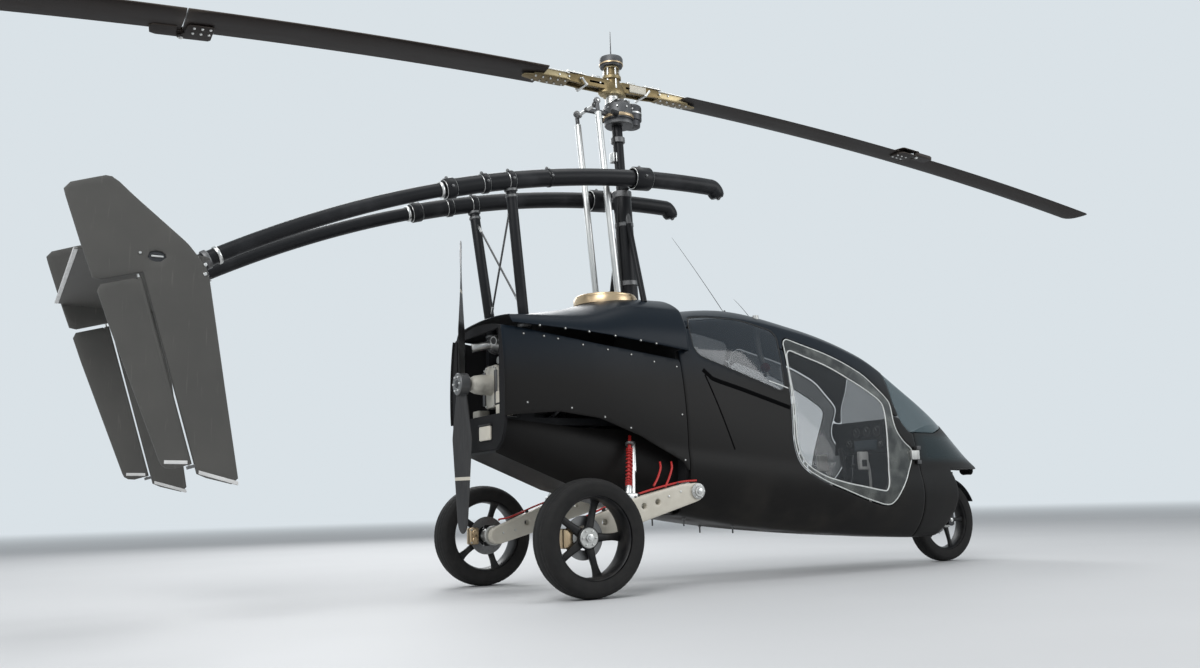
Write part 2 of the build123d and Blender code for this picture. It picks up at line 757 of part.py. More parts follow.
def fold_ear(z):
    """One fork plate of a fold, cut back where the outer blade swings."""
    reach, side = FOLD_REACH, FOLD_SIDE
    middle = z + FOLD_PLATE_T / 2
    ear = Pos(-reach / 2, 0, middle) * Box(reach, 2 * FOLD_EAR, FOLD_PLATE_T)
    ear += Pos(0, 0, middle) * Cylinder(FOLD_EAR, FOLD_PLATE_T)
    ear += Pos(-reach / 2, side / 2, middle) * Box(reach, side, FOLD_PLATE_T)
    return ear - block((-BLADE_GAP, BLADE_GAP), (FOLD_EAR, 3 * side), (z - 30, z + 30))


def blades():
    """The front blade and its fold; the rear one is the same, turned half way round."""
    at = blade_frame(BLADE_FOLD, -FOLD_SIDE)
    reach = FOLD_REACH
    inside = blade_piece(BLADE_ROOT, BLADE_FOLD - BLADE_GAP / 2)
    outside = blade_piece(BLADE_FOLD + BLADE_GAP / 2, BLADE_TIP)
    outer_face = BLADE_T / 2 + FOLD_SKIN
    ears = fold_ear(outer_face) + fold_ear(-outer_face - FOLD_PLATE_T)
    filler = Box(reach - 40, FOLD_SIDE - 40, 2 * outer_face + 0.5)
    filler = Pos(-reach / 2 - 20, FOLD_SIDE / 2 + 8, 0) * filler
    pin = Cylinder(FOLD_PIN_R, 2 * (outer_face + FOLD_PLATE_T))
    inside -= at * Cylinder(FOLD_EAR + FOLD_CLEAR, BLADE_T + 4)
    inside += at * (ears + filler + pin)
    lug = Cylinder(FOLD_EAR, BLADE_T - 2) + Pos(reach / 2, 0, 0) * Box(reach, 2 * FOLD_EAR, BLADE_T - 2)
    lug += Pos(reach / 2 + 10, FOLD_SIDE / 3, 0) * Box(reach - 20, FOLD_SIDE / 1.5, BLADE_T - 8)
    outside += at * lug
    outside -= at * Cylinder(FOLD_PIN_R + RUN, 80)
    turned = Rot(0, 0, 180)
    save(Compound([inside, turned * inside]), "blade_roots")
    save(outside, "blade_front")
    save(turned * outside, "blade_rear")


def rotor():
    shoulder = HEAD_Z[1] - 40
    head = rod((HEAD_X, 0, HEAD_Z[0]), (HEAD_X, 0, HEAD_Z[1]), HEAD_R)
    head += rod((DRUM_X, 0, DRUM_Z[0]), (DRUM_X, 0, DRUM_Z[1]), DRUM_R)
    head += rod((0, 0, shoulder), (0, 0, HUB_BODY_Z[0] - 1), NECK_R)
    head += rod((0, 0, shoulder), (0, 0, HUB_BODY_Z[1] - SPINDLE_SHORT), SPINDLE_R)
    arm_x, arm_z = ROD_TOP[0] - ARM_HALF - 2, ROD_TOP[1] - ARM_HALF - 2
    head += block((arm_x, HEAD_X), (-ARM_HALF, ARM_HALF), (arm_z - ARM_HALF, arm_z + ARM_HALF))
    bar_half = ROD_Y - ROD_R - SEAT_GAP
    head += across(ROD_TOP[0] + 1.5, arm_z, -bar_half, bar_half, ARM_HALF - 3)
    save(head, "rotor_head")
    cap_top = HUB_BODY_Z[1] + CAP_H
    hub = rod((0, 0, HUB_BODY_Z[0]), (0, 0, HUB_BODY_Z[1]), HUB_R)
    hub += rod((0, 0, HUB_BODY_Z[1]), (0, 0, cap_top), CAP_R)
    hub += rod((0, 0, cap_top - 2), (0, 0, WHIP_TOP_Z), WHIP_R)
    beam = block((HUB_R - 10, CUFF[0]), (-CUFF_Y, CUFF_Y), (HUB_Z - CUFF_T, HUB_Z + CUFF_T))
    grip = blade_frame(BLADE_ROOT) * Pos(-CUFF[1] / 2, 0, 0) * Box(CUFF[1], 2 * GRIP_Y, 2 * GRIP_T)
    for turn in (0, 180):
        hub += Rot(0, 0, turn) * (beam + grip)
    hub -= rod((0, 0, HUB_BODY_Z[0] - 5), (0, 0, HUB_BODY_Z[1] - SPINDLE_SHORT + 1), SPINDLE_R + RUN)
    save(hub, "rotor_hub")


def powerplant():
    save(block(*ENGINE), "engine")
    rear = ENGINE[0][0]
    case_x = (rear - GEARBOX_LONG, rear)
    gearbox = block(case_x, (-GEARBOX_HALF, GEARBOX_HALF), (PROP_Z - 130, PROP_Z + 110))
    gearbox += rod((case_x[0], 0, PROP_Z), (GEARBOX_END_X, 0, PROP_Z), GEARBOX_NOSE_R)
    gearbox += rod((case_x[0], 0, PROP_Z), (PROP_X - PROP_SHAFT_PAST, 0, PROP_Z), PROP_SHAFT_R)
    save(gearbox, "gearbox")
    silencer = across(SILENCER[0], SILENCER[1], -SILENCER_HALF, SILENCER_HALF, SILENCER_R)
    pipe_x = (SILENCER[0] - PIPE_HALF, rear + 60)
    pipe = block(pipe_x, (-PIPE_HALF, PIPE_HALF), (ENGINE[2][1], SILENCER[1]))
    save(silencer + pipe - block(*ENGINE), "silencer")


def propeller():
    sections = []
    for r, chord, pitch, thick in PROP_STATIONS:
        turn = math.radians(pitch)
        plane = Plane(origin=(0, 0, r), x_dir=(math.sin(turn), math.cos(turn), 0), z_dir=(0, 0, 1))
        sections.append(plane * Ellipse(chord / 2, thick / 2))
    blade = loft(sections, ruled=True)
    shape = rod((PROP_X - PROP_HUB_HALF, 0, PROP_Z), (PROP_X + PROP_HUB_HALF, 0, PROP_Z), PROP_HUB_R)
    for turn in (0, 180):
        shape += Pos(PROP_X, 0, PROP_Z) * Rot(turn, 0, 0) * blade
    shape -= rod((PROP_X - 60, 0, PROP_Z), (PROP_X + 60, 0, PROP_Z), PROP_SHAFT_R + RUN)
    save(shape, "propeller")


def tyre(radius, width, rim_r):
    """A tyre about Y: flat inside on its rim, bowed walls and a rounded tread."""
    half = width / 2
    bead = rim_r + SEAT_GAP
    wall = radius - bead
    foot = (TYRE_FOOT * width, bead)
    swell = (half * 0.99, bead + 0.38 * wall)
    side = (half, bead + 0.5 * wall)
    shoulder = (TYRE_SHOULDER * half, radius - TYRE_ROUND * width)
    lines = Line((-foot[0], bead), foot)
    for sign in (1, -1):
        a, b, c, d = [(sign * y, z) for y, z in (foot, swell, side, shoulder)]
        lines += ThreePointArc(a, b, c)
        lines += ThreePointArc(c, d, (0, radius))
    return revolve(section_plane(0) * make_face(lines), Axis.Y, revolution_arc=360)


def rim(rim_r, width, hub_y, spoke_y, spoke_w, bore_r):
    """A wheel about Y: a hollow barrel, a hub from one face to the other and flat spokes."""
    barrel = Rot(90, 0, 0) * (Cylinder(rim_r, RIM_WIDE * width) - Cylinder(rim_r - RIM_WALL, width))
    shape = barrel + across(0, 0, hub_y[0], hub_y[1], RIM_HUB_R)
    inner_r = rim_r - RIM_WALL / 2
    spoke_faces = (spoke_y - SPOKE_T / 2, spoke_y + SPOKE_T / 2)
    spoke = block((-spoke_w / 2, spoke_w / 2), spoke_faces, (RIM_HUB_R - 8, inner_r))
    for i in range(SPOKES):
        shape += Rot(0, i * 360 / SPOKES + SPOKE_TURN, 0) * spoke
    return shape - across(0, 0, -200, 200, bore_r + RUN)


def wheels():
    place = Pos(REAR_AXLE_X, REAR_TRACK / 2, REAR_TYRE_R)
    rear_tyre = place * tyre(REAR_TYRE_R, REAR_TYRE_W, REAR_RIM_R)
    rear_rim = place * rim(REAR_RIM_R, REAR_TYRE_W, REAR_HUB, *REAR_SPOKE, REAR_STUB_R)
    for name, sign in SIDES:
        save(on_side(rear_tyre, sign), f"rear_tyre_{name}")
        save(on_side(rear_rim, sign), f"rear_rim_{name}")
    place = Pos(FRONT_AXLE_X, 0, FRONT_TYRE_R)
    save(place * tyre(FRONT_TYRE_R, FRONT_TYRE_W, FRONT_RIM_R), "front_tyre")
    save(place * rim(FRONT_RIM_R, FRONT_TYRE_W, FRONT_HUB, *FRONT_SPOKE, FRONT_AXLE_R), "front_rim")


def rear_arm():
    """The left arm, from its pivot back to the wheel's flange, stub and nut."""
    px, pz = ARM_PIVOT
    wheel_y = REAR_TRACK / 2
    nut_r, nut_h = STUB_NUT
    hub_in, hub_out = wheel_y + REAR_HUB[0] - WHEEL_FREE, wheel_y + REAR_HUB[1] + WHEEL_FREE
    back = REAR_AXLE_X - 42
    outline = ((px + 45, pz + 10), (px + 20, pz + 48), (px - 90, pz + 42), (SHOCK_FOOT[0] - 10, 486),
               (REAR_AXLE_X, 352), (back, 330), (back, 268), (REAR_AXLE_X, 246),
               (SHOCK_FOOT[0] + 20, 350), (px - 20, pz - 62), (px + 35, pz - 45))
    plate = side_prism(outline, *ARM_Y)
    stub = across(REAR_AXLE_X, REAR_TYRE_R, ARM_Y[1], hub_in, ARM_FLANGE_R)
    stub += across(REAR_AXLE_X, REAR_TYRE_R, ARM_Y[1], hub_out, REAR_STUB_R)
    stub += across(REAR_AXLE_X, REAR_TYRE_R, hub_out, hub_out + nut_h, nut_r)
    return plate, plate + stub


def rear_arms():
    px, pz = ARM_PIVOT
    plate, arm = rear_arm()
    for name, sign in SIDES:
        save(on_side(arm, sign), f"rear_arm_{name}")
    pivots = across(px, pz, -ARM_Y[0], ARM_Y[0], PIVOT_R) - outer
    caps = across(px, pz, ARM_Y[1], ARM_Y[1] + CAP_OUT, PIVOT_CAP_R)
    save(Compound(list(pivots.solids()) + [caps, mirrored(caps)]), "arm_pivots")
    foot, head = Vector(*SHOCK_FOOT), Vector(*SHOCK_HEAD)
    way = (head - foot).normalized()
    shock = rod(foot - way * SHOCK_EYE, head, SHOCK_ROD_R)
    shock += rod(foot + way * SHOCK_EYE, head - way * SHOCK_NECK, SHOCK_R)
    cross = across(SHOCK_HEAD[0], RAIL_Z + RAIL / 2, 0, 500, RAIL / 2 + SEAT_GAP)
    shock = (shock - plate - cross).solids().sort_by(SortBy.VOLUME)[-1]
    save(Compound([shock, mirrored(shock)]), "rear_shocks")


def front_guard(x, z):
    """A mudguard over the front tyre, hung from the fork's crown."""
    wide = (-GUARD_HALF, GUARD_HALF)
    guard = across(x, z, *wide, GUARD_R) - across(x, z, -100, 100, GUARD_R - GUARD_T)
    above = ((x, z), (x - 260, z + 420), (x - 260, 900), (x + 500, 900), (x + 500, z + 230))
    guard &= side_prism(above, *wide)
    return guard + block((x - 30, x + 30), (-30, 30), (z + GUARD_R - GUARD_T + 2, CROWN_Z[0] + 1))


def front_gear():
    x, z = FRONT_AXLE_X, FRONT_TYRE_R
    half = FRONT_TYRE_W / 2 + FORK_GAP
    leg_t, leg_w = FORK_LEG
    leg = block((x - leg_w / 2, x + leg_w / 2), (half, half + leg_t), (z - 34, CROWN_Z[0]))
    leg += across(x, z, FRONT_HUB[1] + WHEEL_FREE, half, AXLE_SPACER_R)
    fork = block((x - 55, x + 55), (-half - leg_t, half + leg_t), CROWN_Z) + leg + mirrored(leg)
    fork += across(x, z, -half, half, FRONT_AXLE_R)
    fork += rod((x, 0, CROWN_Z[1]), (x, 0, HEAD_TOP_Z - STEM_SHORT), STEM_R)
    fork += front_guard(x, z)
    fork -= across(x, z, -half - leg_t - 5, half + leg_t + 5, AXLE_BORE_R)
    save(fork, "front_fork")
    liner = (arch_cutter(ARCH_T) - arch_cutter()) & fitted
    liner += rod((x, 0, ARCH_Z + 2), (x, 0, HEAD_TOP_Z), STEM_R + 20)
    liner -= rod((x, 0, ARCH_Z - 20), (x, 0, HEAD_TOP_Z - STEM_SHORT + 1), STEM_R + RUN)
    save(liner, "arch_liner")


def seat(x, z, lean):
    """A cushion on its foot with a leaning back; x and z are the back's lower front edge."""
    shape = block((x, x + SEAT_LONG), SEAT_Y, (z, z + CUSHION_T))
    shape += block((x + 60, x + 400), (-SEAT_FOOT_HALF, SEAT_FOOT_HALF), (z - SEAT_FOOT, z))
    return shape + Pos(x, 0, z) * Rot(0, -lean, 0) * block((-BACK_T, 0), SEAT_Y, (0, BACK_H))


def cabin():
    rear, front = [seat(*place) for place in SEATS]
    save((rear + front) & fitted, "seats")
    save(block(PANEL_X, (-500, 500), PANEL_Z) & fitted, "instrument_panel")


for make in (
    body_panels, doors, engine_panels, bulkheads, rear_belly, cowl, collar, mast, push_rods, booms, boom_posts,
    bay_frame, tail, fins, blades, rotor, powerplant, propeller, wheels, rear_arms, front_gear, cabin,
):
    make()
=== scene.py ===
"""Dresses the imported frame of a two-seat gyroplane car: skins, glass, wheels, rotor, tail, bay and cabin."""

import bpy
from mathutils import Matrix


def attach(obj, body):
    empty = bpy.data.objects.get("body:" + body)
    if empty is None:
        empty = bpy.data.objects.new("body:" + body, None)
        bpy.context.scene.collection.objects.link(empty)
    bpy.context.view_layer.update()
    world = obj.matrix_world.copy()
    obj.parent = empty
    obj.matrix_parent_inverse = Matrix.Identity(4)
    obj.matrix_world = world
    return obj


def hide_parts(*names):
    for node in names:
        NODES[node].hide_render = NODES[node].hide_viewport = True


bl_info = {
    "name": "Gyroplane Car Dressing",
    "version": (1, 0, 0),
    "blender": (4, 5, 0),
    "location": "3D View > Sidebar > Gyro Car",
    "description": "Builds the finished surfaces of a two-seat gyroplane car round its packed frame",
    "category": "Object",
}

import math

import bmesh
import bpy
import numpy as np
from mathutils import Matrix, Vector

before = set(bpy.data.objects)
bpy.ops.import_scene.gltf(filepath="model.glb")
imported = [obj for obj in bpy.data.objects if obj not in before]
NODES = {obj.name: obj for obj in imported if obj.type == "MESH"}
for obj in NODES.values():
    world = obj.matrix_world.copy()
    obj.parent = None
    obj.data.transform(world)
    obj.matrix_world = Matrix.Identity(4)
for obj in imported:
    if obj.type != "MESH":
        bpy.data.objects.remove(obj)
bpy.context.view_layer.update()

MM = 0.001
WELD = 0.02 * MM
AHEAD, LEFT, UP = np.eye(3)
SIDES = (("left", 1), ("right", -1))

# Body sections, millimetres: x, z bottom, half width bottom, half width waist, z waist,
# half width shoulder, z shoulder, z top
BODY = np.array((
    (-960, 760, 250, 371, 960, 330, 1440, 1490),
    (-450, 570, 260, 392, 860, 335, 1480, 1545),
    (150, 400, 265, 412, 760, 300, 1512, 1605),
    (700, 310, 265, 422, 700, 250, 1572, 1665),
    (1260, 250, 255, 412, 650, 212, 1513, 1590),
    (1800, 208, 228, 372, 620, 185, 1371, 1446),
    (2200, 186, 190, 312, 620, 155, 1166, 1228),
    (2500, 186, 150, 256, 640, 125, 987, 1048),
    (2750, 400, 120, 188, 650, 92, 798, 849),
    (2900, 560, 80, 122, 648, 58, 690, 728),
    (2968, 600, 30, 46, 632, 20, 652, 664)), float)
# Cowl sections: x, half width, z edge, half width shoulder, z shoulder, z top
COWL = np.array((
    (-905, 380, 1440, 345, 1488, 1508),
    (-450, 396, 1412, 335, 1510, 1588),
    (-80, 402, 1372, 318, 1590, 1684),
    (238, 400, 1332, 318, 1585, 1692)), float)
BODY_END_X = 2968
HULL_START_X = 186
NOSE_SEAM_X = 2125
NOSE_ROUND = 60
NOSE_Z = 632
SEAM = 6
FRONT_AXLE = (2638, 286)
ARCH_R = 310
ARCH_Z = 640
COLLAR = (-95, 193)

# Outlines of the openings seen from the side: x, z
DOOR = ((1048, 1485), (1003, 1070), (969, 830), (985, 720), (1037, 640), (1190, 564), (1515, 458),
        (1743, 402), (1810, 418), (1990, 615), (2060, 720), (2070, 775), (1998, 815), (1942, 880),
        (1925, 950), (1945, 1060), (1935, 1105), (1828, 1196), (1740, 1270), (1561, 1348), (1400, 1400),
        (1200, 1447))
DOOR_LIGHT = ((1060, 1405), (1034, 1290), (1022, 1065), (992, 830), (1008, 738), (1060, 662), (1200, 592),
              (1396, 548), (1530, 528), (1696, 500), (1750, 498), (1784, 634), (1802, 764), (1831, 897),
              (1858, 1030), (1848, 1088), (1693, 1175), (1452, 1284), (1351, 1321), (1168, 1371))
REAR_WINDOW = ((300, 1328), (962, 1112), (1010, 1512), (732, 1572), (453, 1582), (300, 1560))
ROOF = ((180, 1900), (180, 1490), (310, 1490), (900, 1420), (1100, 1380), (1300, 1340), (1640, 1150),
        (1860, 1060), (1880, 1000), (2006, 985), (1990, 1065), (1986, 1110), (1994, 1210), (1960, 1500),
        (1960, 1900))
SCREEN = ((1960, 1900), (1960, 1500), (1994, 1210), (1986, 1110), (1990, 1065), (2006, 985), (2026, 940),
          (2088, 884), (2400, 888), (2560, 930), (2640, 1005), (2700, 1300), (2700, 1900))
PANEL = ((-960, 1432), (-862, 1422), (-371, 1351), (184, 1283), (184, 625), (134, 695), (-130, 835),
         (-385, 931), (-632, 965), (-960, 940))


# Sums over whole arrays

def table_at(table, x):
    """Every column of a table at x: a cubic line through the rows whose slope at each row is the
    harmonic mean of the slopes beside it, or nought where they differ in sign, so it never overshoots."""
    places, values = table[:, 0], table[:, 1:]
    gap = np.diff(places)[:, None]
    slope = np.diff(values, axis=0) / gap
    before, after = slope[:-1], slope[1:]
    same = before * after > 0
    first, second = 2 * gap[1:] + gap[:-1], gap[1:] + 2 * gap[:-1]
    mean = (first + second) / (first / np.where(same, before, 1) + second / np.where(same, after, 1))
    tangent = np.vstack((slope[:1], np.where(same, mean, 0), slope[-1:]))
    k = np.clip(np.searchsorted(places, x) - 1, 0, len(places) - 2)
    q = np.clip((x - places[k])[..., None] / gap[k], 0, 1)
    return ((1 + 2 * q) * (1 - q) ** 2 * values[k] + q * (1 - q) ** 2 * gap[k] * tangent[k]
            + q * q * (3 - 2 * q) * values[k + 1] + q * q * (q - 1) * gap[k] * tangent[k + 1])


def arc(start, end, share, q):
    """The point q of the way along the circular arc from start to end whose middle stands out from
    the chord by a share of the chord, to its right."""
    chord = end - start
    length = np.linalg.norm(chord, axis=-1, keepdims=True)
    along = chord / length
    out = np.stack((along[..., 1], -along[..., 0]), -1)
    half = 2 * math.atan(2 * share)
    radius = length / (2 * math.sin(half))
    angle = (half * (2 * q - 1))[..., None]
    middle = (start + end) / 2
    return middle + along * radius * np.sin(angle) + out * radius * (np.cos(angle) - math.cos(half))


def cap_arc(half_width, z_edge, z_top, q):
    """The point q of the way from (half_width, z_edge) up the circle whose top is (0, z_top)."""
    rise = z_top - z_edge
    radius = (half_width ** 2 + rise ** 2) / (2 * rise)
    turn = np.arctan2(half_width, radius - rise) * (1 - q)
    return np.stack((radius * np.sin(turn), z_top - radius + radius * np.cos(turn)), -1)


def unit(vectors):
    return vectors / np.maximum(np.linalg.norm(vectors, axis=-1, keepdims=True), 1e-9)


def softened(outline, reach=36):
    """A closed outline with its corners cut three times: each side keeps all but a reach at both ends,
    or a quarter of its length where that is less, and the reach is a third as long each time."""
    points = np.asarray(outline, float)
    for cut in (reach, reach / 3, reach / 9):
        way = np.roll(points, -1, 0) - points
        share = np.minimum(0.25, cut / np.maximum(np.linalg.norm(way, axis=1), 1e-6))[:, None]
        points = np.stack((points + way * share, points + way * (1 - share)), 1).reshape(-1, 2)
    return points


def outline_distance(outline, x, z, reach=70):
    """How far outside a closed outline each point lies, less than nought inside it: the least distance
    to any side, with its sign from the number of sides that a line to the left crosses."""
    low, high = outline.min(0) - reach, outline.max(0) + reach
    near = (x > low[0]) & (x < high[0]) & (z > low[1]) & (z < high[1])
    result = np.full(x.shape, float(reach))
    point = np.stack((x[near], z[near]), -1)[:, None, :]
    start, side = outline, np.roll(outline, -1, 0) - outline
    share = np.clip(((point - start) * side).sum(-1) / (side * side).sum(-1), 0, 1)
    away = np.linalg.norm(point - start - share[..., None] * side, axis=-1).min(1)
    end = start + side
    level = (start[:, 1] > point[..., 1]) != (end[:, 1] > point[..., 1])
    rise = np.where(np.abs(side[:, 1]) < 1e-9, 1e-9, side[:, 1])
    left = point[..., 0] < start[:, 0] + side[:, 0] * (point[..., 1] - start[:, 1]) / rise
    inside = (level & left).sum(1) % 2 == 1
    result[near] = np.where(inside, -away, away)
    return result


# The body's skin: x along it and t round it, from 0 under it, 1 on top, to 2 under it again

STATIONS = (0.0, 0.08, 0.28, 0.72, 1.0)
BULGES = (0.17, 0.045)
CREASE = 0.016
AROUND = 168
COWL_FRONT_X = 238
COWL_CORNER = 26
COWL_HALF = 400
COWL_CORE_Z = 1450
COWL_BULGE = 0.08
COWL_SHOULDER = 0.35
COWL_CREASE = 0.05
COWL_SKIRT = 500


def middle_weights(count, reach):
    """Steps from -reach to reach of one, each with its share in a mean that favours the middle."""
    steps = np.linspace(-1, 1, count) * reach
    return zip(steps, (1 - steps ** 2) / (1 - steps ** 2).sum())


def body_section(row, t):
    """One side of a section: a flat bottom, two arcs up the side, and the circle over the top."""
    zb, wb, w, zw, ws, zs, zt = np.moveaxis(row, -1, 0)
    foot, waist, shoulder = (np.stack(pair, -1) for pair in ((wb, zb), (w, zw), (ws, zs)))
    q = [np.clip((t - a) / (b - a), 0, 1) for a, b in zip(STATIONS, STATIONS[1:])]
    flat = np.stack((wb * q[0], zb), -1)
    lower, upper = arc(foot, waist, BULGES[0], q[1]), arc(waist, shoulder, BULGES[1], q[2])
    band = np.searchsorted(STATIONS[1:4], t, side="right")[..., None]
    return np.choose(np.broadcast_to(band, flat.shape), (flat, lower, upper, cap_arc(ws, zs, zt, q[3])))


def skin(x, t):
    """A point of the body: the mean of nine points of its section round t, weighted to the middle,
    which rounds the section's corners, drawn in to the nose's centre over the last stretch of x."""
    row = table_at(BODY, x)
    total = 0
    for step, weight in middle_weights(9, 0.9):
        place = t + step * CREASE
        turns = np.mod(place, 2)
        left = turns <= 1
        point = body_section(row, np.where(left, turns, 2 - turns))
        total = total + weight * np.stack((np.where(left, 1, -1) * point[..., 0], point[..., 1]), -1)
    past = np.clip((x - BODY_END_X + NOSE_ROUND) / NOSE_ROUND, 0, 1)
    shrink = np.sqrt(1 - past ** 2)
    return np.stack((x, total[..., 0] * shrink, NOSE_Z + (total[..., 1] - NOSE_Z) * shrink), -1)


def cowl_skin(u, t):
    """A point of the cowl, t from 0 at its left edge over the top, at 1, to 2 at its right edge, and
    straight down past both. Past the cowl's front end, u turns a round corner and runs inwards."""
    past = u - COWL_FRONT_X + COWL_CORNER
    angle = np.clip(past / COWL_CORNER, 0, math.pi / 2)
    x = np.where(past > 0, COWL_FRONT_X - COWL_CORNER * (1 - np.sin(angle)), u)
    inset = COWL_CORNER * (1 - np.cos(angle)) + np.maximum(past - COWL_CORNER * math.pi / 2, 0)
    w, ze, ws, zs, zt = np.moveaxis(table_at(COWL, x), -1, 0)
    total = 0
    for step, weight in middle_weights(7, 0.9):
        place = t + step * COWL_CREASE
        left = place <= 1
        one = np.where(left, place, 2 - place)
        edge = arc(np.stack((w, ze), -1), np.stack((ws, zs), -1), COWL_BULGE,
                   np.clip(one / COWL_SHOULDER, 0, 1))
        top = cap_arc(ws, zs, zt, np.clip((one - COWL_SHOULDER) / (1 - COWL_SHOULDER), 0, 1))
        point = np.where((one < COWL_SHOULDER)[..., None], edge, top)
        drop = np.minimum(one, 0) * COWL_SKIRT
        total = total + weight * np.stack((np.where(left, 1, -1) * point[..., 0], point[..., 1] + drop), -1)
    scale = 1 - inset / COWL_HALF
    z = COWL_CORE_Z + (total[..., 1] - COWL_CORE_Z) * scale
    return np.stack((np.broadcast_to(x, t.shape), total[..., 0] * scale, z), -1)


class Surface:
    """A grid on a function of two parameters: row i and column j, whole or part, give a point."""

    def __init__(self, place, x_values, t_values, wrapped=False):
        self.place = place
        self.x_values = np.asarray(x_values, float)
        self.t_values = np.asarray(t_values, float)
        self.wrapped = wrapped

    def at(self, i, j):
        columns = len(self.t_values) - 1
        t = np.interp(np.mod(j, columns) if self.wrapped else j, np.arange(columns + 1), self.t_values)
        return self.place(np.interp(i, np.arange(len(self.x_values)), self.x_values), t)

    def slopes(self, i, j, step=0.2):
        """The surface's change for one row and one column, by the difference of points beside it."""
        along = (self.at(i + step, j) - self.at(i - step, j)) / (2 * step)
        around = (self.at(i, j + step) - self.at(i, j - step)) / (2 * step)
        return along, around

    def outward(self, i, j):
        """The direction square to the surface, which is straight ahead at the nose's pole."""
        along, around = self.slopes(i, j)
        out = np.cross(around, along)
        size = np.linalg.norm(out, axis=-1, keepdims=True)
        return np.where(size < 1e-4, (1.0, 0.0, 0.0), out / np.maximum(size, 1e-9))


def body_surface(x0, x1, pitch=16):
    """The grid between two places along the body, finer where it rounds over to the nose's pole."""
    x_values = np.linspace(x0, x1, int((x1 - x0) / pitch) + 2)
    if x1 > BODY_END_X - NOSE_ROUND:
        ease = np.linspace(0, math.pi / 2, 9)[1:]
        rounded = BODY_END_X - NOSE_ROUND + NOSE_ROUND * np.sin(ease)
        x_values = np.append(x_values[x_values < BODY_END_X - NOSE_ROUND - 4], rounded)
    return Surface(skin, x_values, np.linspace(0, 2, AROUND + 1), wrapped=True)


def side_of_skin(x, z, sign, place=skin, start=STATIONS[1]):
    """The point of a surface's side at x and z, and its outward direction, by halving t twenty times."""
    x, z = np.broadcast_arrays(np.asarray(x, float), np.asarray(z, float))
    low, high = np.full(x.shape, start), np.ones(x.shape)
    for _ in range(20):
        middle = (low + high) / 2
        above = place(x, middle)[..., 2] > z
        low, high = np.where(above, low, middle), np.where(above, middle, high)
    t = (low + high) / 2
    point = place(x, t)
    out = unit(np.cross(place(x, t + 0.004) - place(x, t - 0.004), place(x + 4, t) - place(x - 4, t)))
    turn = np.array((1, sign, 1))
    return point * turn, out * turn


# Meshes

class Shape:
    """Points and faces in millimetres, gathered from grids and rows of like parts, for one piece."""

    def __init__(self):
        self.points, self.quads, self.tris, self.quad_inks, self.tri_inks, self.count = [], [], [], [], [], 0

    def add(self, points, quads=(), tris=(), ink=0):
        points = np.asarray(points, float).reshape(-1, 3)
        quads = np.asarray(quads, int).reshape(-1, 4)
        tris = np.asarray(tris, int).reshape(-1, 3)
        self.points.append(points)
        self.quads.append(quads + self.count)
        self.tris.append(tris + self.count)
        self.quad_inks.append(np.full(len(quads), ink))
        self.tri_inks.append(np.full(len(tris), ink))
        self.count += len(points)
        return self

    def grid(self, points, close_u=False, close_v=False, ink=0):
        """Quads between the rows and columns of points[u, v, 3], or of several such grids at once."""
        points = np.asarray(points, float)
        many = points.reshape((-1,) + points.shape[-3:])
        copies, rows, columns = many.shape[:3]
        u = np.arange(rows if close_u else rows - 1)
        v = np.arange(columns if close_v else columns - 1)
        u, v = (a.ravel() for a in np.meshgrid(u, v, indexing="ij"))
        nu, nv = (u + 1) % rows, (v + 1) % columns
        quads = np.stack((u * columns + v, nu * columns + v, nu * columns + nv, u * columns + nv), -1)
        quads = (quads[None] + (np.arange(copies) * rows * columns)[:, None, None]).reshape(-1, 4)
        return self.add(many, quads, ink=ink)

    def join(self, other, factors=(1, 1, 1)):
        """Adds another shape, its points times factors, such as -1 where an axis is mirrored."""
        self.points += [points * factors for points in other.points]
        self.quads += [quads + self.count for quads in other.quads]
        self.tris += [tris + self.count for tris in other.tris]
        self.quad_inks += other.quad_inks
        self.tri_inks += other.tri_inks
        self.count += other.count
        return self

    def pair(self, part):
        """Adds a part made for the left side, and its mirror image."""
        return self.join(part).join(part, (1, -1, 1))

    def through(self, change):
        """Puts every point through a function."""
        self.points = [change(points) for points in self.points]
        return self


def flat_join(arrays):
    return np.concatenate([np.ravel(array) for array in arrays]).astype(np.int32)


def cleaned(mesh, weld):
    """Joins points that meet, drops edges of no length and turns the faces outwards."""
    work = bmesh.new()
    work.from_mesh(mesh)
    bmesh.ops.remove_doubles(work, verts=work.verts, dist=weld)
    bmesh.ops.dissolve_degenerate(work, edges=work.edges, dist=1e-7)
    bmesh.ops.recalc_face_normals(work, faces=work.faces)
    work.to_mesh(mesh)
    work.free()
    return mesh


def make_piece(name, shape, body, slot, inks, *replaces, sharp=34):
    """Puts a shape into a mesh with its edges over sharp degrees kept crisp. inks names its finishes, with
    spaces between, and replaces are the frame's nodes that the piece stands for."""
    mesh = bpy.data.meshes.new(name)
    points = np.concatenate(shape.points) * MM
    corners = flat_join(shape.quads + shape.tris)
    totals = np.repeat((4, 3), [sum(len(faces) for faces in kind) for kind in (shape.quads, shape.tris)])
    mesh.vertices.add(len(points))
    mesh.vertices.foreach_set("co", points.ravel().astype(np.float32))
    mesh.loops.add(len(corners))
    mesh.loops.foreach_set("vertex_index", corners)
    mesh.polygons.add(len(totals))
    mesh.polygons.foreach_set("loop_start", flat_join(((0,), np.cumsum(totals)[:-1])))
    mesh.polygons.foreach_set("material_index", flat_join(shape.quad_inks + shape.tri_inks))
    mesh.update(calc_edges=True)
    for finish in inks.split():
        mesh.materials.append(ink(finish))
    cleaned(mesh, WELD).shade_smooth()
    mesh.set_sharp_from_angle(angle=math.radians(sharp))
    made = bpy.data.objects.new(name, mesh)
    bpy.context.scene.collection.objects.link(made)
    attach(made, body)
    if replaces:
        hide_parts(*replaces)
    return made


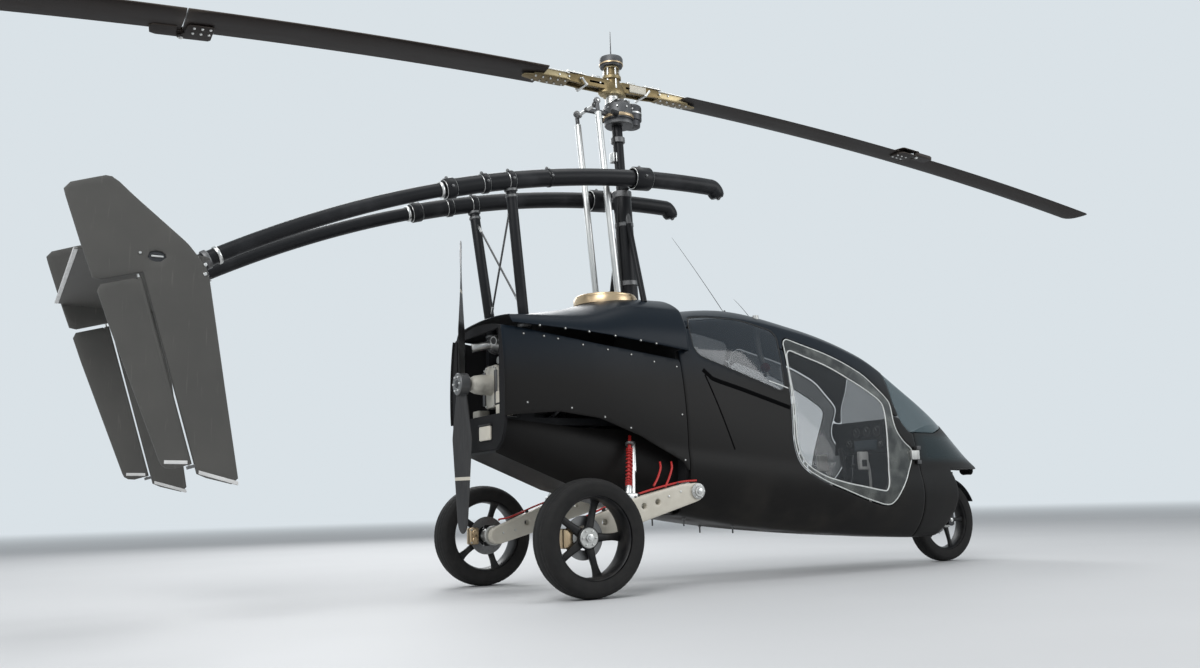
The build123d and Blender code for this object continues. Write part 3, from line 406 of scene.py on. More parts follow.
SNAP_REACH = 40
PROBE = 0.15
RIM_TURN = ((0.7, 0.3), (1, 1))


def trimmed(surface, cut, wall, edge=2.5, lift=0, ink_in=0):
    """A wall on a surface, kept where cut(points) is under nought. Each grid point within half a cell
    of the cut is moved on to it, down the cut's slope; cells outside are dropped, and a cell with one
    corner outside keeps its other three. The rim is a run of rings that turn from face to face over
    edge millimetres; the inner face lies a wall's thickness under the outer one."""
    rows, columns = len(surface.x_values) - 1, len(surface.t_values) - 1
    held = columns if surface.wrapped else columns + 1
    i, j = (a.ravel().astype(float) for a in np.meshgrid(np.arange(rows + 1), np.arange(held), indexing="ij"))

    def value(a, b):
        return cut(surface.at(np.clip(a, 0, rows), b)) + edge

    def gradient(a, b):
        one = (value(a + PROBE, b) - value(a - PROBE, b)) / (2 * PROBE)
        return one, (value(a, b + PROBE) - value(a, b - PROBE)) / (2 * PROBE)

    f = value(i, j)
    close = np.abs(f) < SNAP_REACH
    gi, gj = gradient(i[close], j[close])
    away = f[close] / np.sqrt(gi ** 2 + gj ** 2 + 1e-9)
    picked = np.flatnonzero(close)[np.abs(away) < 0.5]
    snapped = np.zeros(len(i), bool)
    snapped[picked] = True
    for _ in range(3):
        gi, gj = gradient(i[picked], j[picked])
        level = value(i[picked], j[picked]) / (gi ** 2 + gj ** 2 + 1e-9)
        i[picked] -= np.clip(level * gi, -0.6, 0.6)
        j[picked] -= np.clip(level * gj, -0.6, 0.6)
    outside, inside = (f > 0) & ~snapped, (f <= 0) & ~snapped
    u, v = (a.ravel() for a in np.meshgrid(np.arange(rows), np.arange(columns), indexing="ij"))
    nv = (v + 1) % held
    quads = np.stack((u * held + v, (u + 1) * held + v, (u + 1) * held + nv, u * held + nv), -1)
    out_count, some_in = outside[quads].sum(1), inside[quads].any(1)
    edge_only = quads[(out_count == 0) & ~some_in]
    flat_j = j[edge_only]
    if surface.wrapped:
        flat_j = flat_j + np.where(flat_j < flat_j.max(1, keepdims=True) - columns / 2, columns, 0)
    kept = value(i[edge_only].mean(1), flat_j.mean(1)) < 0
    whole = np.concatenate((quads[(out_count == 0) & some_in], edge_only[kept]))
    single = quads[out_count == 1]
    order = (outside[single].argmax(1)[:, None] + np.array((1, 2, 3))) % 4
    tris = np.take_along_axis(single, order, 1)
    tris = tris[inside[tris[:, 1]]]
    used, index = np.unique(np.concatenate((whole.ravel(), tris.ravel())), return_inverse=True)
    whole, tris = index[:whole.size].reshape(-1, 4), index[whole.size:].reshape(-1, 3)
    i, j = np.clip(i[used], 0, rows), j[used]
    skin_points, out = surface.at(i, j), surface.outward(i, j)
    outer, inner = skin_points - out * lift, skin_points - out * (lift + wall)
    sides = [faces[:, (a, (a + 1) % size)] for faces, size in ((whole, 4), (tris, 3)) for a in range(size)]
    sides = np.concatenate(sides)
    key = np.sort(sides, 1)
    _, first, repeats = np.unique(key[:, 0] * len(outer) + key[:, 1], return_index=True, return_counts=True)
    around, rim = np.unique(sides[first[repeats == 1]], return_inverse=True)
    rim = rim.reshape(-1, 2)
    gi, gj = gradient(i[around], j[around])
    along_i, along_j = surface.slopes(i[around], j[around])
    aa, bb, ab = ((p * q).sum(-1) for p, q in ((along_i, along_i), (along_j, along_j), (along_i, along_j)))
    spread = np.maximum(aa * bb - ab * ab, 1e-9)
    way = unit(((bb * gi - ab * gj) / spread)[:, None] * along_i
               + ((aa * gj - ab * gi) / spread)[:, None] * along_j)
    turn = RIM_TURN + tuple((ahead, wall / edge - down) for ahead, down in RIM_TURN[::-1])
    rings = [outer[around] + way * edge * ahead - out[around] * edge * down for ahead, down in turn]
    base = len(outer) + len(rings) * len(around)
    between = [len(outer) + k * len(around) + np.arange(len(around)) for k in range(len(rings))]
    ids = [around, *between, around + base]
    turned = [np.stack((a[rim[:, 0]], b[rim[:, 0]], b[rim[:, 1]], a[rim[:, 1]]), -1)
              for a, b in zip(ids, ids[1:])]
    points = np.concatenate([outer, *rings, inner])
    back = base - len(points)
    shape = Shape().add(points, np.concatenate([whole, *turned]), tris)
    return shape.add((), whole[:, ::-1] + back, tris[:, ::-1] + back, ink_in)


def frame_of(axis):
    """Two unit vectors square to an axis and to each other, for whole arrays of axes."""
    axis = unit(np.asarray(axis, float))
    helper = np.where(np.abs(axis[..., 2:3]) > 0.9, (1.0, 0.0, 0.0), (0.0, 0.0, 1.0))
    first = unit(np.cross(helper, axis))
    return first, np.cross(axis, first)


def ring(first, second, radius, sides, start=0.0):
    """Points round a circle in the plane of two unit vectors."""
    angle = start + np.linspace(0, 2 * math.pi, sides, endpoint=False)
    return radius * (np.cos(angle)[:, None] * first + np.sin(angle)[:, None] * second)


def lathe(shape, base, axis, profile, sides=32, ink=0, closed=False):
    """A profile of (distance along the axis, radius) pairs turned round an axis from a base point."""
    base, axis = np.asarray(base, float), unit(np.asarray(axis, float))
    along, radius = np.asarray(profile, float).T
    first, second = frame_of(axis)
    circle = ring(first, second, 1.0, sides)
    points = base + along[:, None, None] * axis + radius[:, None, None] * circle
    return shape.grid(points, close_u=closed, close_v=True, ink=ink)


def band(shape, at, axis, length, inner, outer, sides=36, ink=0, drop=3, edge=3):
    """A ring round an axis whose outer corners are cut off by edge along it and drop across it."""
    profile = ((0, inner), (0, outer - drop), (edge, outer), (length - edge, outer), (length, outer - drop),
               (length, inner))
    return lathe(shape, at, axis, profile, sides, ink, closed=True)


def bar(shape, start, end, radius, sides=24, edge=2.0, ink=0):
    """A round bar between two points, with rounded ends."""
    start, end = np.asarray(start, float), np.asarray(end, float)
    length = np.linalg.norm(end - start)
    turn = np.linspace(0, math.pi / 2, 4)
    corner = np.stack((edge - edge * np.cos(turn), radius - edge + edge * np.sin(turn)), -1)
    top = np.stack((length - corner[::-1, 0], corner[::-1, 1]), -1)
    return lathe(shape, start, end - start, np.vstack(((0, 0), corner, top, (length, 0))), sides, ink)


def capped(points):
    """Rings with the mean of the first one before them and that of the last one after."""
    first, last = (np.broadcast_to(points[k].mean(0), points[k].shape)[None] for k in (0, -1))
    return np.concatenate((first, points, last))


def hose(shape, path, radius, side=LEFT, sides=16, ink=0, flat=1.0):
    """A round or flattened section carried along a path; side is a direction the path never points in.
    Each ring is square to the path, and its ends close on to the path's end points."""
    path = np.asarray(path, float)
    way = unit(np.gradient(path, axis=0))
    first = unit(np.cross(np.broadcast_to(np.asarray(side, float), path.shape), way))
    second = np.cross(way, first)
    radius = np.broadcast_to(np.asarray(radius, float), (len(path),))
    angle = np.linspace(0, 2 * math.pi, sides, endpoint=False)
    rings = (np.cos(angle)[None, :, None] * first[:, None] * flat
             + np.sin(angle)[None, :, None] * second[:, None])
    return shape.grid(capped(path[:, None] + rings * radius[:, None, None]), close_v=True, ink=ink)


def smooth_path(points, count=40):
    """A curve through its points: each stretch is the cubic whose slopes are half the chord between
    the points on both sides."""
    points = np.asarray(points, float)
    points = np.vstack((2 * points[:1] - points[1:2], points, 2 * points[-1:] - points[-2:-1]))
    spans = len(points) - 3
    s = np.linspace(0, spans, count)
    k = np.minimum(s.astype(int), spans - 1)
    q = (s - k)[:, None]
    a, b, c, d = (points[k + n] for n in range(4))
    return 0.5 * (2 * b + (c - a) * q + (2 * a - 5 * b + 4 * c - d) * q ** 2
                  + (3 * b - a - 3 * c + d) * q ** 3)


def plate(shape, outline, origin, across, up, thickness, edge=2.0, ink=0):
    """An outline of (across, up) pairs made into a plate, centred on its plane, with rounded edges; its
    faces are drawn in to the outline's middle."""
    outline, origin = np.asarray(outline, float), np.asarray(origin, float)
    across, up = unit(np.asarray(across, float)), unit(np.asarray(up, float))
    before, after = np.roll(outline, 1, 0), np.roll(outline, -1, 0)
    way = unit(after - before)
    turn = np.sign(np.sum(outline[:, 0] * after[:, 1] - after[:, 0] * outline[:, 1]))
    out = np.stack((way[:, 1], -way[:, 0]), -1) * turn
    rings = [(outline - out * edge * (1 - math.sin(a)), thickness / 2 - edge * (1 - math.cos(a)))
             for a in np.linspace(0, math.pi / 2, 4)]
    rings += [(flat, -height) for flat, height in rings[::-1]]
    middle = np.broadcast_to(outline.mean(0), outline.shape)
    rings = [(middle, thickness / 2), *rings, (middle, -thickness / 2)]
    points = [origin + flat[:, :1] * across + flat[:, 1:] * up + height * np.cross(across, up)
              for flat, height in rings]
    return shape.grid(np.stack(points), close_v=True, ink=ink)


def rounded_box(half_x, half_y, corner, steps=4):
    """The outline of a rectangle with round corners, about nought."""
    arcs = []
    for k, (sx, sy) in enumerate(((1, 1), (-1, 1), (-1, -1), (1, -1))):
        angle = np.linspace(0, math.pi / 2, steps) + k * math.pi / 2
        arcs.append(np.stack((sx * (half_x - corner) + corner * np.cos(angle),
                              sy * (half_y - corner) + corner * np.sin(angle)), -1))
    return np.vstack(arcs)


def brick(shape, low, high, edge=4.0, ink=0):
    """A box between two corners, with rounded edges all round."""
    low, high = np.asarray(low, float), np.asarray(high, float)
    half = (high - low) / 2
    outline = rounded_box(half[0], half[1], min(edge * 1.5, half[0] * 0.9, half[1] * 0.9))
    return plate(shape, outline, (low + high) / 2, AHEAD, LEFT, 2 * half[2], min(edge, half[2] * 0.9), ink)


def studs(shape, places, outward, radius=4.0, height=2.0, sides=10, ink=0):
    """A row of round screw heads at places, each with a slightly domed top."""
    places, outward = np.asarray(places, float), unit(np.asarray(outward, float))
    outward = np.broadcast_to(outward, places.shape)
    first, second = frame_of(outward)
    angle = np.linspace(0, 2 * math.pi, sides, endpoint=False)[:, None]
    around = np.cos(angle) * first[:, None] + np.sin(angle) * second[:, None]
    rows = [places[:, None] + around * radius * broad + outward[:, None] * height * high
            for broad, high in ((0, -0.5), (1, -0.5), (1, 0.45), (0.78, 0.9), (0, 1))]
    return shape.grid(np.stack(rows, 1), close_v=True, ink=ink)


def nut(shape, place, outward, radius=9.0, height=7.0, ink=0):
    """A six-sided nut with a domed end of its bolt."""
    sides = ((0, 0), (0, radius), (height * 0.9, radius), (height, radius * 0.86), (height, 0))
    bolt = ((0, 0), (0, radius * 0.55), (height * 1.35, radius * 0.55), (height * 1.5, 0))
    lathe(shape, place, outward, sides, 6, ink)
    return lathe(shape, place, outward, bolt, 12, ink)


# Materials

class Value:
    """A shader socket. Its sums add Math nodes."""

    def __init__(self, finish, socket):
        self.finish = finish
        self.socket = socket

    def math(self, operation, first, second=0.0):
        return self.finish.node("Math", {"operation": operation}, {0: first, 1: second})

    def __add__(self, other):
        return self.math("ADD", self, other)

    def __sub__(self, other):
        return self.math("SUBTRACT", self, other)

    def __rsub__(self, other):
        return self.math("SUBTRACT", other, self)

    def __mul__(self, other):
        return self.math("MULTIPLY", self, other)

    __radd__ = __add__
    __rmul__ = __mul__

    def above(self, low, high):
        """Nought under low, one over high, and a smooth rise between them."""
        settings = {"interpolation_type": "SMOOTHSTEP"}
        return self.finish.node("MapRange", settings, {"Value": self, "From Min": low, "From Max": high})

    def within(self, low, high, blur):
        return self.above(low - blur, low + blur) * (1 - self.above(high - blur, high + blur))


class Finish:
    """A material, and the one way its nodes are made."""

    def __init__(self, name):
        self.material = bpy.data.materials.new(name)
        self.material.use_nodes = True
        self.tree = self.material.node_tree
        self.tree.nodes.clear()

    def node(self, kind, settings=None, inputs=None, output=0):
        made = self.tree.nodes.new("ShaderNode" + kind)
        for name, value in (settings or {}).items():
            setattr(made, name, value)
        for name, value in (inputs or {}).items():
            if isinstance(value, Value):
                self.tree.links.new(value.socket, made.inputs[name])
            else:
                made.inputs[name].default_value = value
        return Value(self, made.outputs[output]) if made.outputs else None

    def place(self, stretch=None):
        """The point on the object, in metres, stretched along its axes."""
        at = self.node("TexCoord", output="Object")
        return self.node("Mapping", {}, {"Vector": at, "Scale": stretch}) if stretch else at

    def axis(self, name):
        return self.node("SeparateXYZ", {}, {0: self.place()}, output=name)

    def cloud(self, scale, detail=3.0, stretch=None):
        inputs = {"Vector": self.place(stretch), "Scale": scale, "Detail": detail}
        return self.node("TexNoise", {}, inputs, output="Fac")

    def cells(self, scale, feature="F1"):
        return self.node("TexVoronoi", {"feature": feature}, {"Vector": self.place(), "Scale": scale})

    def bands(self, scale, direction="Z", distortion=0.0):
        kind = {"wave_type": "BANDS", "bands_direction": direction}
        inputs = {"Vector": self.place(), "Scale": scale, "Distortion": distortion}
        return self.node("TexWave", kind, inputs, output="Fac")

    def facing(self, blend):
        return self.node("LayerWeight", {}, {"Blend": blend}, output="Facing")

    def colours(self, share, low, high):
        """A mix of two colours, each three plain numbers or a value."""
        low, high = ((*colour, 1) if isinstance(colour, tuple) else colour for colour in (low, high))
        return self.node("Mix", {"data_type": "RGBA"}, {0: share, 6: low, 7: high}, output=2)

    def bump(self, height, distance, strength):
        return self.node("Bump", {}, {"Height": height, "Distance": distance, "Strength": strength})

    def corners(self, low, high):
        """One on raised edges and nought on flats, from how the surface points."""
        return self.node("NewGeometry", output="Pointiness").above(low, high)

    def close(self, colour, roughness, metallic=0.0, **sockets):
        """Ends the material with a Principled shader. Colours may be plain numbers or values."""
        inputs = {"Base Color": (*colour, 1) if isinstance(colour, tuple) else colour, "Roughness": roughness,
                  "Metallic": metallic}
        inputs.update({name.replace("_", " "): value for name, value in sockets.items()})
        shader = self.node("BsdfPrincipled", {}, inputs)
        self.node("OutputMaterial", {}, {"Surface": shader})
        return self.material


def ink(name):
    """The material of a name, made the first time it is asked for."""
    return bpy.data.materials.get(name) or FINISHES[name](Finish(name))


def satin_black(f):
    """Sprayed body panels: near black, with slow clouds, a fine peel, and dust towards the ground."""
    cloud = f.cloud(2.6, 4)
    speck = f.cloud(60, 2)
    height = f.axis("Z")
    dust = (1 - height.above(0.2, 0.75)) * cloud.above(0.42, 0.7)
    gloss = height.within(0.70, 0.87, 0.03) * f.axis("X").above(2.05, 2.3)
    upper = height.above(1.1, 1.42)
    base = f.colours(cloud, (0.0062, 0.0057, 0.0055), (0.0125, 0.0117, 0.0112))
    for share, colour in ((upper, (0.006, 0.0105, 0.0165)), (dust * 0.5, (0.055, 0.05, 0.043)),
                          (gloss * 0.6, (0.012, 0.03, 0.036))):
        base = f.colours(share, base, colour)
    rough = 0.36 + cloud * 0.12 + speck * 0.05 + dust * 0.25 - gloss * 0.2 - upper * 0.1
    return f.close(base, rough, Specular_IOR_Level=0.13, Normal=f.bump(f.cloud(420, 1), 0.0002, 0.35))


def lining_black(f):
    """The bare inner side of the shell: a woven laminate under resin."""
    weave = f.bands(90.0, "DIAGONAL", 0.6)
    base = f.colours(weave, (0.008, 0.008, 0.009), (0.02, 0.02, 0.021))
    return f.close(base, 0.7 + f.cloud(5, 3) * 0.2, Specular_IOR_Level=0.15,
                   Normal=f.bump(weave, 0.00005, 0.2))


def glazing(f, colour, low, high, rough):
    """Clear sheet: seen through face on, and denser where it turns away, with a little haze."""
    haze = f.cloud(7, 4)
    alpha = low + f.facing(0.35) * (high - low) + haze * 0.05
    return f.close(colour, rough + haze * 0.05, Alpha=alpha, IOR=1.49, Specular_IOR_Level=0.7)


def door_rim(f):
    """The moulded clear edge of a door, smoky and faintly green, with dark patches."""
    patch = f.cloud(9, 4)
    colour = f.colours(patch.above(0.35, 0.7), (0.03, 0.034, 0.034), (0.14, 0.15, 0.14))
    return f.close(colour, 0.12 + patch * 0.18, Alpha=0.55 + f.facing(0.4) * 0.4 + patch * 0.12, IOR=1.49)


def metal(f, low, high, rough, scale, stretch=None, metallic=1.0, edge=None):
    """A worked metal: fine marks drawn along one axis, slow stains, and bright worn corners."""
    marks = f.cloud(scale, 3, stretch)
    stain = f.cloud(9, 4)
    colour = f.colours(marks * 0.5 + stain * 0.5, low, high)
    if edge:
        colour = f.colours(f.corners(0.52, 0.6), colour, edge)
    return f.close(colour, rough + stain * 0.18 + marks * 0.06, metallic, Normal=f.bump(marks, 0.00015, 0.4))


def coat(f, low, high, rough, spread, mark, bump=None, step=None, metallic=0.0, **sockets):
    """A coat whose colour and dullness follow one mark. step sharpens the colour's change, and bump holds
    a height, or None for the mark itself, with its depth and strength."""
    if bump:
        sockets["Normal"] = f.bump(mark if bump[0] is None else bump[0], *bump[1:])
    share = mark.above(*step) if step else mark
    return f.close(f.colours(share, low, high), rough + mark * spread, metallic, **sockets)


def cream_paint(f):
    """Cream paint with small dark chips where it is stained."""
    chips = f.cells(55).above(0.02, 0.05)
    stain = f.cloud(12, 5)
    colour = f.colours(stain, (0.5, 0.46, 0.38), (0.74, 0.71, 0.62))
    colour = f.colours((1 - chips) * stain.above(0.5, 0.6), colour, (0.16, 0.13, 0.1))
    return f.close(colour, 0.32 + stain * 0.25, Normal=f.bump(f.cloud(300, 1), 0.0002, 0.3))


def blade_paint(f):
    """A laminated blade: dark brown with long streaks, and a paler worn leading edge."""
    streak = f.cloud(16, 4, (0.12, 1, 1))
    fine = f.cloud(160, 2, (0.1, 1, 1))
    colour = f.colours(streak, (0.009, 0.007, 0.0066), (0.028, 0.021, 0.018))
    colour = f.colours(f.corners(0.53, 0.58) * fine, colour, (0.11, 0.09, 0.075))
    return f.close(colour, 0.36 + streak * 0.25, Specular_IOR_Level=0.2, Normal=f.bump(fine, 0.0003, 0.35))


def fin_paint(f):
    """Matt grey with an olive cast: a rolled coat over board, soft patches and fine scratches."""
    patch = f.cloud(4, 5)
    colour = f.colours(patch, (0.042, 0.041, 0.038), (0.088, 0.085, 0.078))
    colour = f.colours(f.cloud(70, 3, (1, 1, 0.08)).above(0.62, 0.75) * 0.35, colour, (0.15, 0.145, 0.13))
    return f.close(colour, 0.55 + patch * 0.2, Normal=f.bump(f.cloud(350, 2), 0.0003, 0.5))


def woven(f, low, high, rough, scale, strength):
    """Cloth or webbing: ribs across the object's height."""
    weave = f.bands(scale)
    return f.close(f.colours(weave, low, high), rough, Normal=f.bump(weave, 0.0004, strength))


def screen_glow(f):
    """A dark screen with faint blue lines."""
    lines = f.bands(30.0, "Z", 3.0)
    return f.close(f.colours(lines, (0.01, 0.02, 0.03), (0.05, 0.09, 0.12)), 0.1 + lines * 0.1)


FINISHES = {
    "satin_black": satin_black, "lining_black": lining_black, "door_rim": door_rim,
    "cream_paint": cream_paint, "blade_paint": blade_paint, "fin_paint": fin_paint,
    "screen_glow": screen_glow,
    "tinted_glass": lambda f: glazing(f, (0.008, 0.016, 0.026), 0.4, 0.9, 0.03),
    "pale_glass": lambda f: glazing(f, (0.035, 0.075, 0.09), 0.34, 0.9, 0.04),
    "door_glass": lambda f: glazing(f, (0.05, 0.055, 0.06), 0.08, 0.5, 0.03),
    "bright_silver": lambda f: metal(f, (0.5, 0.5, 0.49), (0.78, 0.78, 0.76), 0.22, 240, (1, 1, 0.06)),
    "cast_silver": lambda f: metal(f, (0.34, 0.34, 0.33), (0.6, 0.6, 0.58), 0.36, 160, None, 0.9),
    "bronze": lambda f: metal(f, (0.10, 0.075, 0.052), (0.27, 0.215, 0.16), 0.3, 200, (1, 1, 0.2), 0.9,
                              (0.42, 0.36, 0.28)),
    "olive_gold": lambda f: metal(f, (0.085, 0.062, 0.03), (0.26, 0.195, 0.098), 0.3, 200, (0.2, 0.2, 1), 0.9,
                                  (0.45, 0.37, 0.22)),
    "dark_steel": lambda f: metal(f, (0.03, 0.031, 0.033), (0.085, 0.085, 0.09), 0.34, 150, None, 0.85,
                                  (0.2, 0.2, 0.2)),
    # Pale bead-blasted casting with oily shadows
    "pale_cast": lambda f: coat(f, (0.52, 0.5, 0.44), (0.2, 0.19, 0.17), 0.5, 0.15, f.cloud(10, 5),
                                (f.cells(300), 0.0003, 0.5), (0.4, 0.75), 0.25),
    "engine_cast": lambda f: coat(f, (0.06, 0.062, 0.066), (0.2, 0.2, 0.2), 0.42, 0.2, f.cloud(8, 5),
                                  (f.cells(260), 0.0004, 0.5), metallic=0.7),
    # Black powder coat with a fine grain, rubbed lighter in places
    "tube_paint": lambda f: coat(f, (0.010, 0.0105, 0.012), (0.03, 0.031, 0.034), 0.3, 0.2, f.cloud(5, 5),
                                 (f.cloud(500, 1), 0.0002, 0.4), (0.5, 0.8), Specular_IOR_Level=0.2),
    "fin_foot": lambda f: coat(f, (0.5, 0.5, 0.49), (0.8, 0.8, 0.79), 0.35, 0.2, f.cloud(20, 4)),
    "prop_carbon": lambda f: coat(f, (0.01, 0.01, 0.011), (0.035, 0.034, 0.034), 0.28, 0.2,
                                  f.cloud(120, 3, (1, 1, 0.1)), (None, 0.0002, 0.4)),
    # Dull road rubber with a fine moulded grain
    "tyre_rubber": lambda f: coat(f, (0.009, 0.009, 0.0095), (0.027, 0.026, 0.025), 0.62, 0.2, f.cloud(22, 4),
                                  (f.cloud(260, 3), 0.0006, 0.5), Specular_IOR_Level=0.18),
    "rim_paint": lambda f: coat(f, (0.009, 0.009, 0.01), (0.035, 0.033, 0.031), 0.3, 0.25, f.cloud(14, 4),
                                (f.cloud(380, 1), 0.0002, 0.3), (0.4, 0.8), 0.1, Specular_IOR_Level=0.3),
    "red_hose": lambda f: coat(f, (0.32, 0.012, 0.012), (0.6, 0.03, 0.025), 0.35, 0.2, f.cloud(90, 2),
                               (f.cells(400), 0.0004, 0.5)),
    "seal_rubber": lambda f: coat(f, (0.006, 0.006, 0.006), (0.022, 0.022, 0.022), 0.6, 0.2, f.cloud(120, 3),
                                  (None, 0.0003, 0.5)),
    # The shadow inside a sunk line
    "groove_black": lambda f: coat(f, (0.0008, 0.0008, 0.001), (0.003, 0.003, 0.0034), 0.85, 0.1,
                                   f.cloud(90, 3), Specular_IOR_Level=0.04),
    # Painted highlight: the milky edge of clear sheet, where the light gathers, and a pale line on the side
    "pale_seal": lambda f: coat(f, (0.42, 0.44, 0.43), (0.78, 0.8, 0.78), 0.22, 0.2, f.cloud(40, 3)),
    "white_plastic": lambda f: coat(f, (0.52, 0.52, 0.5), (0.78, 0.78, 0.76), 0.3, 0.25, f.cloud(60, 4),
                                    (f.cloud(500, 1), 0.0002, 0.3)),
    # Seat hide with small pebbles and a worn sheen
    "black_leather": lambda f: coat(f, (0.011, 0.011, 0.012), (0.034, 0.033, 0.033), 0.5, 0.2, f.cloud(6, 4),
                                    (f.cells(420, "SMOOTH_F1"), 0.0001, 0.3), Specular_IOR_Level=0.25),
    "red_cloth": lambda f: woven(f, (0.26, 0.008, 0.01), (0.48, 0.02, 0.02), 0.8, 260.0, 0.5),
    "belt_webbing": lambda f: woven(f, (0.012, 0.012, 0.013), (0.045, 0.045, 0.048), 0.75, 320.0, 0.6),
}


# The body: skins, glass, doors, cowl and engine panels

DOOR_GAP = 8
DOOR_WALL = 9
SKIN_WALL = 12
PANEL_WALL = 6
GLASS_LIFT = 3
GLASS_WALL = 5
GLASS_EDGE = 1.2
STRIP_PITCH = 12
SKIN_INKS = "satin_black lining_black"
DOOR_EDGE = softened(DOOR)
LIGHT_EDGE = softened(DOOR_LIGHT)
WINDOW_EDGE = softened(REAR_WINDOW)
ROOF_EDGE = softened(ROOF, 12)
SCREEN_EDGE = softened(SCREEN, 12)
PANEL_EDGE = softened(PANEL, 10)


def gap_to(edge, points):
    return outline_distance(edge, points[..., 0], points[..., 2])


def largest(*terms):
    return np.maximum.reduce(np.broadcast_arrays(*terms))


def arch_gap(points):
    """How far inside the front wheel's round arch a point lies, nought at its wall."""
    flat = ARCH_R - np.hypot(points[..., 0] - FRONT_AXLE[0], points[..., 1])
    return np.minimum(flat, ARCH_Z - points[..., 2])


def openings(points, seam):
    return largest(DOOR_GAP - gap_to(DOOR_EDGE, points), seam / 2 - gap_to(WINDOW_EDGE, points))


def hull_cut(points):
    x = points[..., 0]
    return largest(HULL_START_X - x, x - NOSE_SEAM_X + SEAM / 2, openings(points, SEAM), arch_gap(points),
                   SEAM / 2 - gap_to(ROOF_EDGE, points), SEAM / 2 - gap_to(SCREEN_EDGE, points))


def nose_cut(points):
    x = points[..., 0]
    return largest(NOSE_SEAM_X + SEAM / 2 - x, arch_gap(points), SEAM / 2 - gap_to(ROOF_EDGE, points),
                   SEAM / 2 - gap_to(SCREEN_EDGE, points))


def roof_cut(points):
    inside = gap_to(ROOF_EDGE, points)
    return largest(HULL_START_X - points[..., 0], inside + SEAM / 2, openings(points, SEAM),
                   SEAM / 2 - gap_to(SCREEN_EDGE, points))


def screen_cut(points):
    return largest(gap_to(SCREEN_EDGE, points) + SEAM / 2, SEAM / 2 - gap_to(ROOF_EDGE, points))


def window_cut(points):
    return gap_to(WINDOW_EDGE, points) + SEAM / 2


def one_side(points, sign, distance):
    return largest(distance, 20 - sign * points[..., 1])


def walked(outline, count=None):
    """Points evenly spaced round a closed outline, about STRIP_PITCH apart if their count isn't given."""
    closed = np.vstack((outline, outline[:1]))
    run = np.concatenate(((0,), np.cumsum(np.linalg.norm(np.diff(closed, axis=0), axis=1))))
    s = np.linspace(0, run[-1], count or int(run[-1] / STRIP_PITCH), endpoint=False)
    return np.stack([np.interp(s, run, closed[:, k]) for k in (0, 1)], -1)


def strip_round(shape, outline, sign, half_width, half_height, lift):
    """A rounded strip along an outline on the body's side, closed on itself."""
    point, out = side_of_skin(*walked(outline).T, sign)
    path = point + out * lift
    across = np.cross(out, unit(np.roll(path, -1, 0) - np.roll(path, 1, 0)))
    angle = np.linspace(0, 2 * math.pi, 8, endpoint=False)[None, :, None]
    section = np.cos(angle) * across[:, None] * half_width + np.sin(angle) * out[:, None] * half_height
    return shape.grid(path[:, None] + section, close_u=True, close_v=True)


def moved(outline, amount):
    """An outline moved outwards by an amount along the mean direction of the sides at each point."""
    points = np.asarray(outline, float)
    way = unit(np.roll(points, -1, 0) - np.roll(points, 1, 0))
    area = np.sum(points[:, 0] * np.roll(points[:, 1], -1) - np.roll(points[:, 0], -1) * points[:, 1])
    return points + np.stack((way[:, 1], -way[:, 0]), -1) * amount * np.sign(area)


class GYRO_OT_body(bpy.types.Operator):
    """Skins of the cabin, roof and nose"""
    bl_idname = "gyro.body"
    bl_label = "Body Skins"

    def execute(self, context):
        for node, cut, x0, x1 in (("hull", hull_cut, 160, 2150), ("roof", roof_cut, 160, 2060),
                                  ("nose", nose_cut, 1960, BODY_END_X)):
            shape = trimmed(body_surface(x0, x1), cut, SKIN_WALL, ink_in=1)
            make_piece(f"skin_{node}", shape, "airframe", "body_black", SKIN_INKS, node)
        return {"FINISHED"}


class GYRO_OT_glass(bpy.types.Operator):
    """Windscreen and rear side windows with their rubber seals"""
    bl_idname = "gyro.glass"
    bl_label = "Glass"

    def execute(self, context):
        for name, x0, x1, cut, finish, node in (
                ("screen", 1940, 2680, screen_cut, "pale_glass", "windscreen"),
                ("rear", 270, 1040, window_cut, "tinted_glass", "rear_windows")):
            shape = trimmed(body_surface(x0, x1, 18), cut, GLASS_WALL, GLASS_EDGE, GLASS_LIFT)
            make_piece(f"glass_{name}", shape, "airframe", "glass_tint", finish, node)
        seals = Shape()
        for _, sign in SIDES:
            strip_round(seals, WINDOW_EDGE, sign, 4.5, 3.5, -3.5)
        make_piece("window_seals", seals, "airframe", "seat_black", "seal_rubber")
        return {"FINISHED"}


